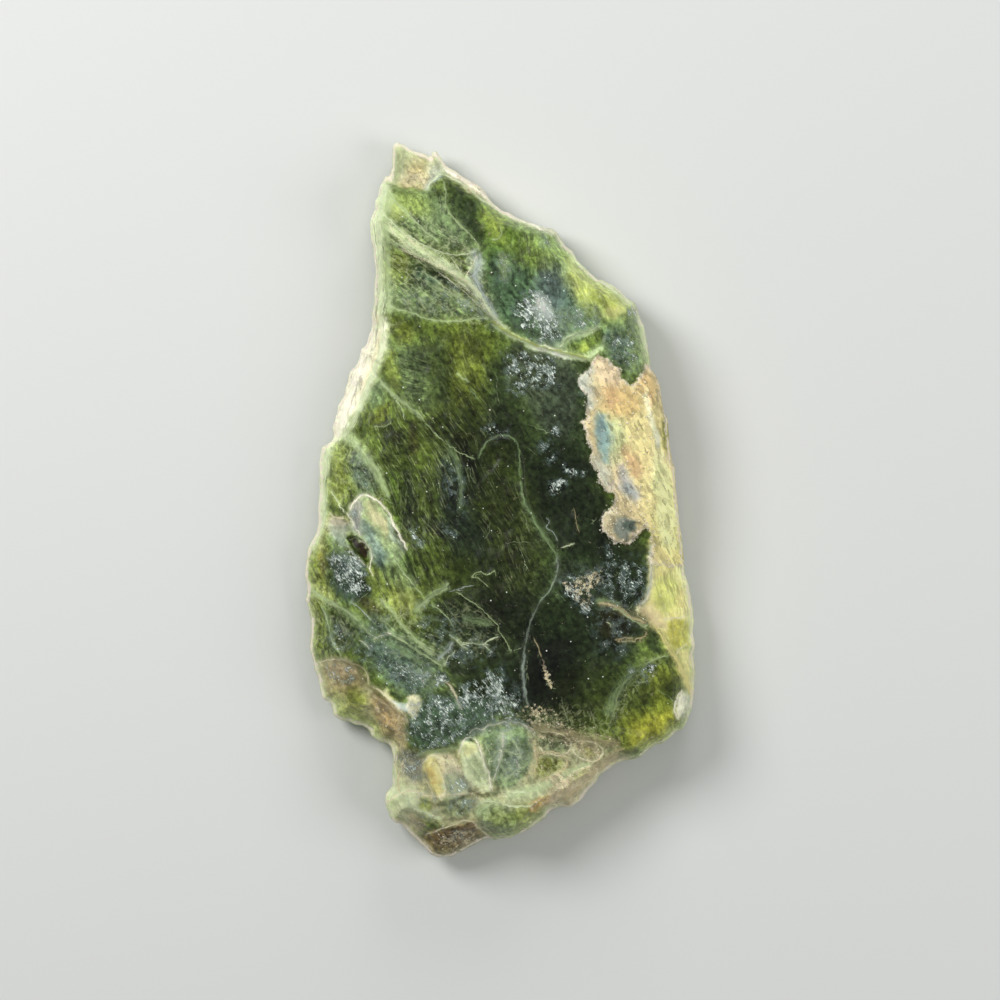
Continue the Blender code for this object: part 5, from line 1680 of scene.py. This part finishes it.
class StoneSettings(bpy.types.PropertyGroup):
    """What can be changed on the stone itself."""

    detail: FloatProperty(
        name="Facet size", description="Size of the smallest facets modelled on the face",
        default=0.0002, min=0.00018, max=0.001, precision=5, unit="LENGTH")
    back_detail: FloatProperty(
        name="Back detail", description="Share of the facets kept once the plain back is thinned out",
        default=0.62, min=0.5, max=1.0, subtype="FACTOR")
    roughness: FloatProperty(
        name="Roughness", description="Roughness of the sound waxy face",
        default=0.36, min=0.1, max=0.8, subtype="FACTOR")
    translucency: FloatProperty(
        name="Translucency", description="Share of the light that spreads under the surface",
        default=0.12, min=0.0, max=1.0, subtype="FACTOR")
    fibre_strength: FloatProperty(
        name="Fibre strength", description="How far the pale fibres cover the body colour",
        default=0.75, min=0.0, max=1.0, subtype="FACTOR")
    hairlines: IntProperty(
        name="Hairlines", description="Number of hair-fine cracks scattered over the face",
        default=60, min=0, max=600)
    web_strength: FloatProperty(
        name="Web strength", description="How far the fine pale threads cover the body colour",
        default=0.5, min=0.0, max=1.0, subtype="FACTOR")
    web_colour: FloatVectorProperty(
        name="Web colour", description="Colour of the fine pale threads",
        default=colour("#c8cfa0")[:3], min=0.0, max=1.0, size=3, subtype="COLOR")
    fibre_colour: FloatVectorProperty(
        name="Fibre colour", description="Colour of the pale fibres in the face",
        default=colour("#aebb84")[:3], min=0.0, max=1.0, size=3, subtype="COLOR")
    bleach_colour: FloatVectorProperty(
        name="Bleached colour", description="Colour of the bleached edges of the stone and of its crust",
        default=colour("#ebe0cd")[:3], min=0.0, max=1.0, size=3, subtype="COLOR")
    haze_colour: FloatVectorProperty(
        name="Haze colour", description="Colour of the haze over bruised stone",
        default=colour("#7d918c")[:3], min=0.0, max=1.0, size=3, subtype="COLOR")
    frost_colour: FloatVectorProperty(
        name="Frost colour", description="Colour of the bruised specks",
        default=colour("#c8d2c6")[:3], min=0.0, max=1.0, size=3, subtype="COLOR")
    crumb_colour: FloatVectorProperty(
        name="Crumb colour", description="Colour of the fine crumb on broken places",
        default=colour("#cfc39d")[:3], min=0.0, max=1.0, size=3, subtype="COLOR")
    # The colour of the painted glints.
    painted_glint_colour: FloatVectorProperty(
        name="Glint colour", description="Colour of the tiny glints of fresh cleavage",
        default=colour("#e6ecdf")[:3], min=0.0, max=1.0, size=3, subtype="COLOR")


class GrainSettings(bpy.types.PropertyGroup):
    """What can be changed on the grains."""

    grain_share: FloatProperty(
        name="Grain share", description="Share of the places for a grain that hold one",
        default=0.5, min=0.0, max=1.0, subtype="FACTOR")


class StageSettings(bpy.types.PropertyGroup):
    """What can be changed on the stage."""

    floor_size: FloatProperty(
        name="Floor size", description="Length of the floor's sides",
        default=3.0, min=0.3, unit="LENGTH")
    floor_colour: FloatVectorProperty(
        name="Floor colour", description="Colour of the floor",
        default=colour("#dedfdc")[:3], min=0.0, max=1.0, size=3, subtype="COLOR")
    room_colour: FloatVectorProperty(
        name="Room colour", description="Colour of the light that comes from all round",
        default=colour("#f2f5f7")[:3], min=0.0, max=1.0, size=3, subtype="COLOR")
    room_strength: FloatProperty(
        name="Room strength", description="Strength of the light that comes from all round",
        default=0.28, min=0.0, max=2.0)
    light_strength: FloatProperty(
        name="Softbox strength", description="Strength of the softboxes against their drawn watts",
        default=0.75, min=0.0, max=5.0, subtype="FACTOR")
    frame_width: FloatProperty(
        name="Framed width", description="Width of what the camera sees at the stone's silhouette",
        default=0.1, min=0.01, unit="LENGTH")


class MakeStone(bpy.types.Operator):
    """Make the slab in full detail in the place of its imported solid"""

    bl_idname = "antigorite.stone"
    bl_label = "Make the stone"

    def execute(self, context):
        stone = make_stone(context.scene.antigorite_stone)
        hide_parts("antigorite")
        return {"FINISHED"}


class MakeGrains(bpy.types.Operator):
    """Cement grains to the crust and the crumbled places of the slab"""

    bl_idname = "antigorite.grains"
    bl_label = "Scatter the grains"

    def execute(self, context):
        stone = bpy.data.objects["antigorite_stone"]
        surface = BVHTree.FromObject(stone, bpy.context.evaluated_depsgraph_get())
        make_grains(context.scene.antigorite_grains, surface)
        return {"FINISHED"}


class MakeStage(bpy.types.Operator):
    """Lay the floor and set the lights and the camera"""

    bl_idname = "antigorite.stage"
    bl_label = "Set the stage"

    def execute(self, context):
        make_stage(context.scene.antigorite_stage)
        return {"FINISHED"}


class AntigoritePanel(bpy.types.Panel):
    """The sizes, colours and makers of the slab"""

    bl_idname = "VIEW3D_PT_antigorite"
    bl_label = "Antigorite slab"
    bl_space_type = "VIEW_3D"
    bl_region_type = "UI"
    bl_category = "Antigorite"

    def draw(self, context):
        for operator, name, group in STEPS:
            box = self.layout.box()
            settings = getattr(context.scene, name)
            for prop in group.__annotations__:
                box.prop(settings, prop)
            box.operator(operator.bl_idname)


STEPS = [
    (MakeStone, "antigorite_stone", StoneSettings),
    (MakeGrains, "antigorite_grains", GrainSettings),
    (MakeStage, "antigorite_stage", StageSettings),
]


def register():
    for operator, name, group in STEPS:
        bpy.utils.register_class(group)
        bpy.utils.register_class(operator)
        setattr(bpy.types.Scene, name, PointerProperty(type=group))
    bpy.utils.register_class(AntigoritePanel)


def unregister():
    bpy.utils.unregister_class(AntigoritePanel)
    for operator, name, group in reversed(STEPS):
        delattr(bpy.types.Scene, name)
        bpy.utils.unregister_class(operator)
        bpy.utils.unregister_class(group)


def main():
    register()
    bpy.ops.antigorite.stone()
    bpy.ops.antigorite.grains()
    bpy.ops.antigorite.stage()
    boxes = {"cad": CAD_BOX, "visual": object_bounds()}
    boxes = {name: [list(corner) for corner in box] for name, box in boxes.items()}


if __name__ == "__main__":
    main()
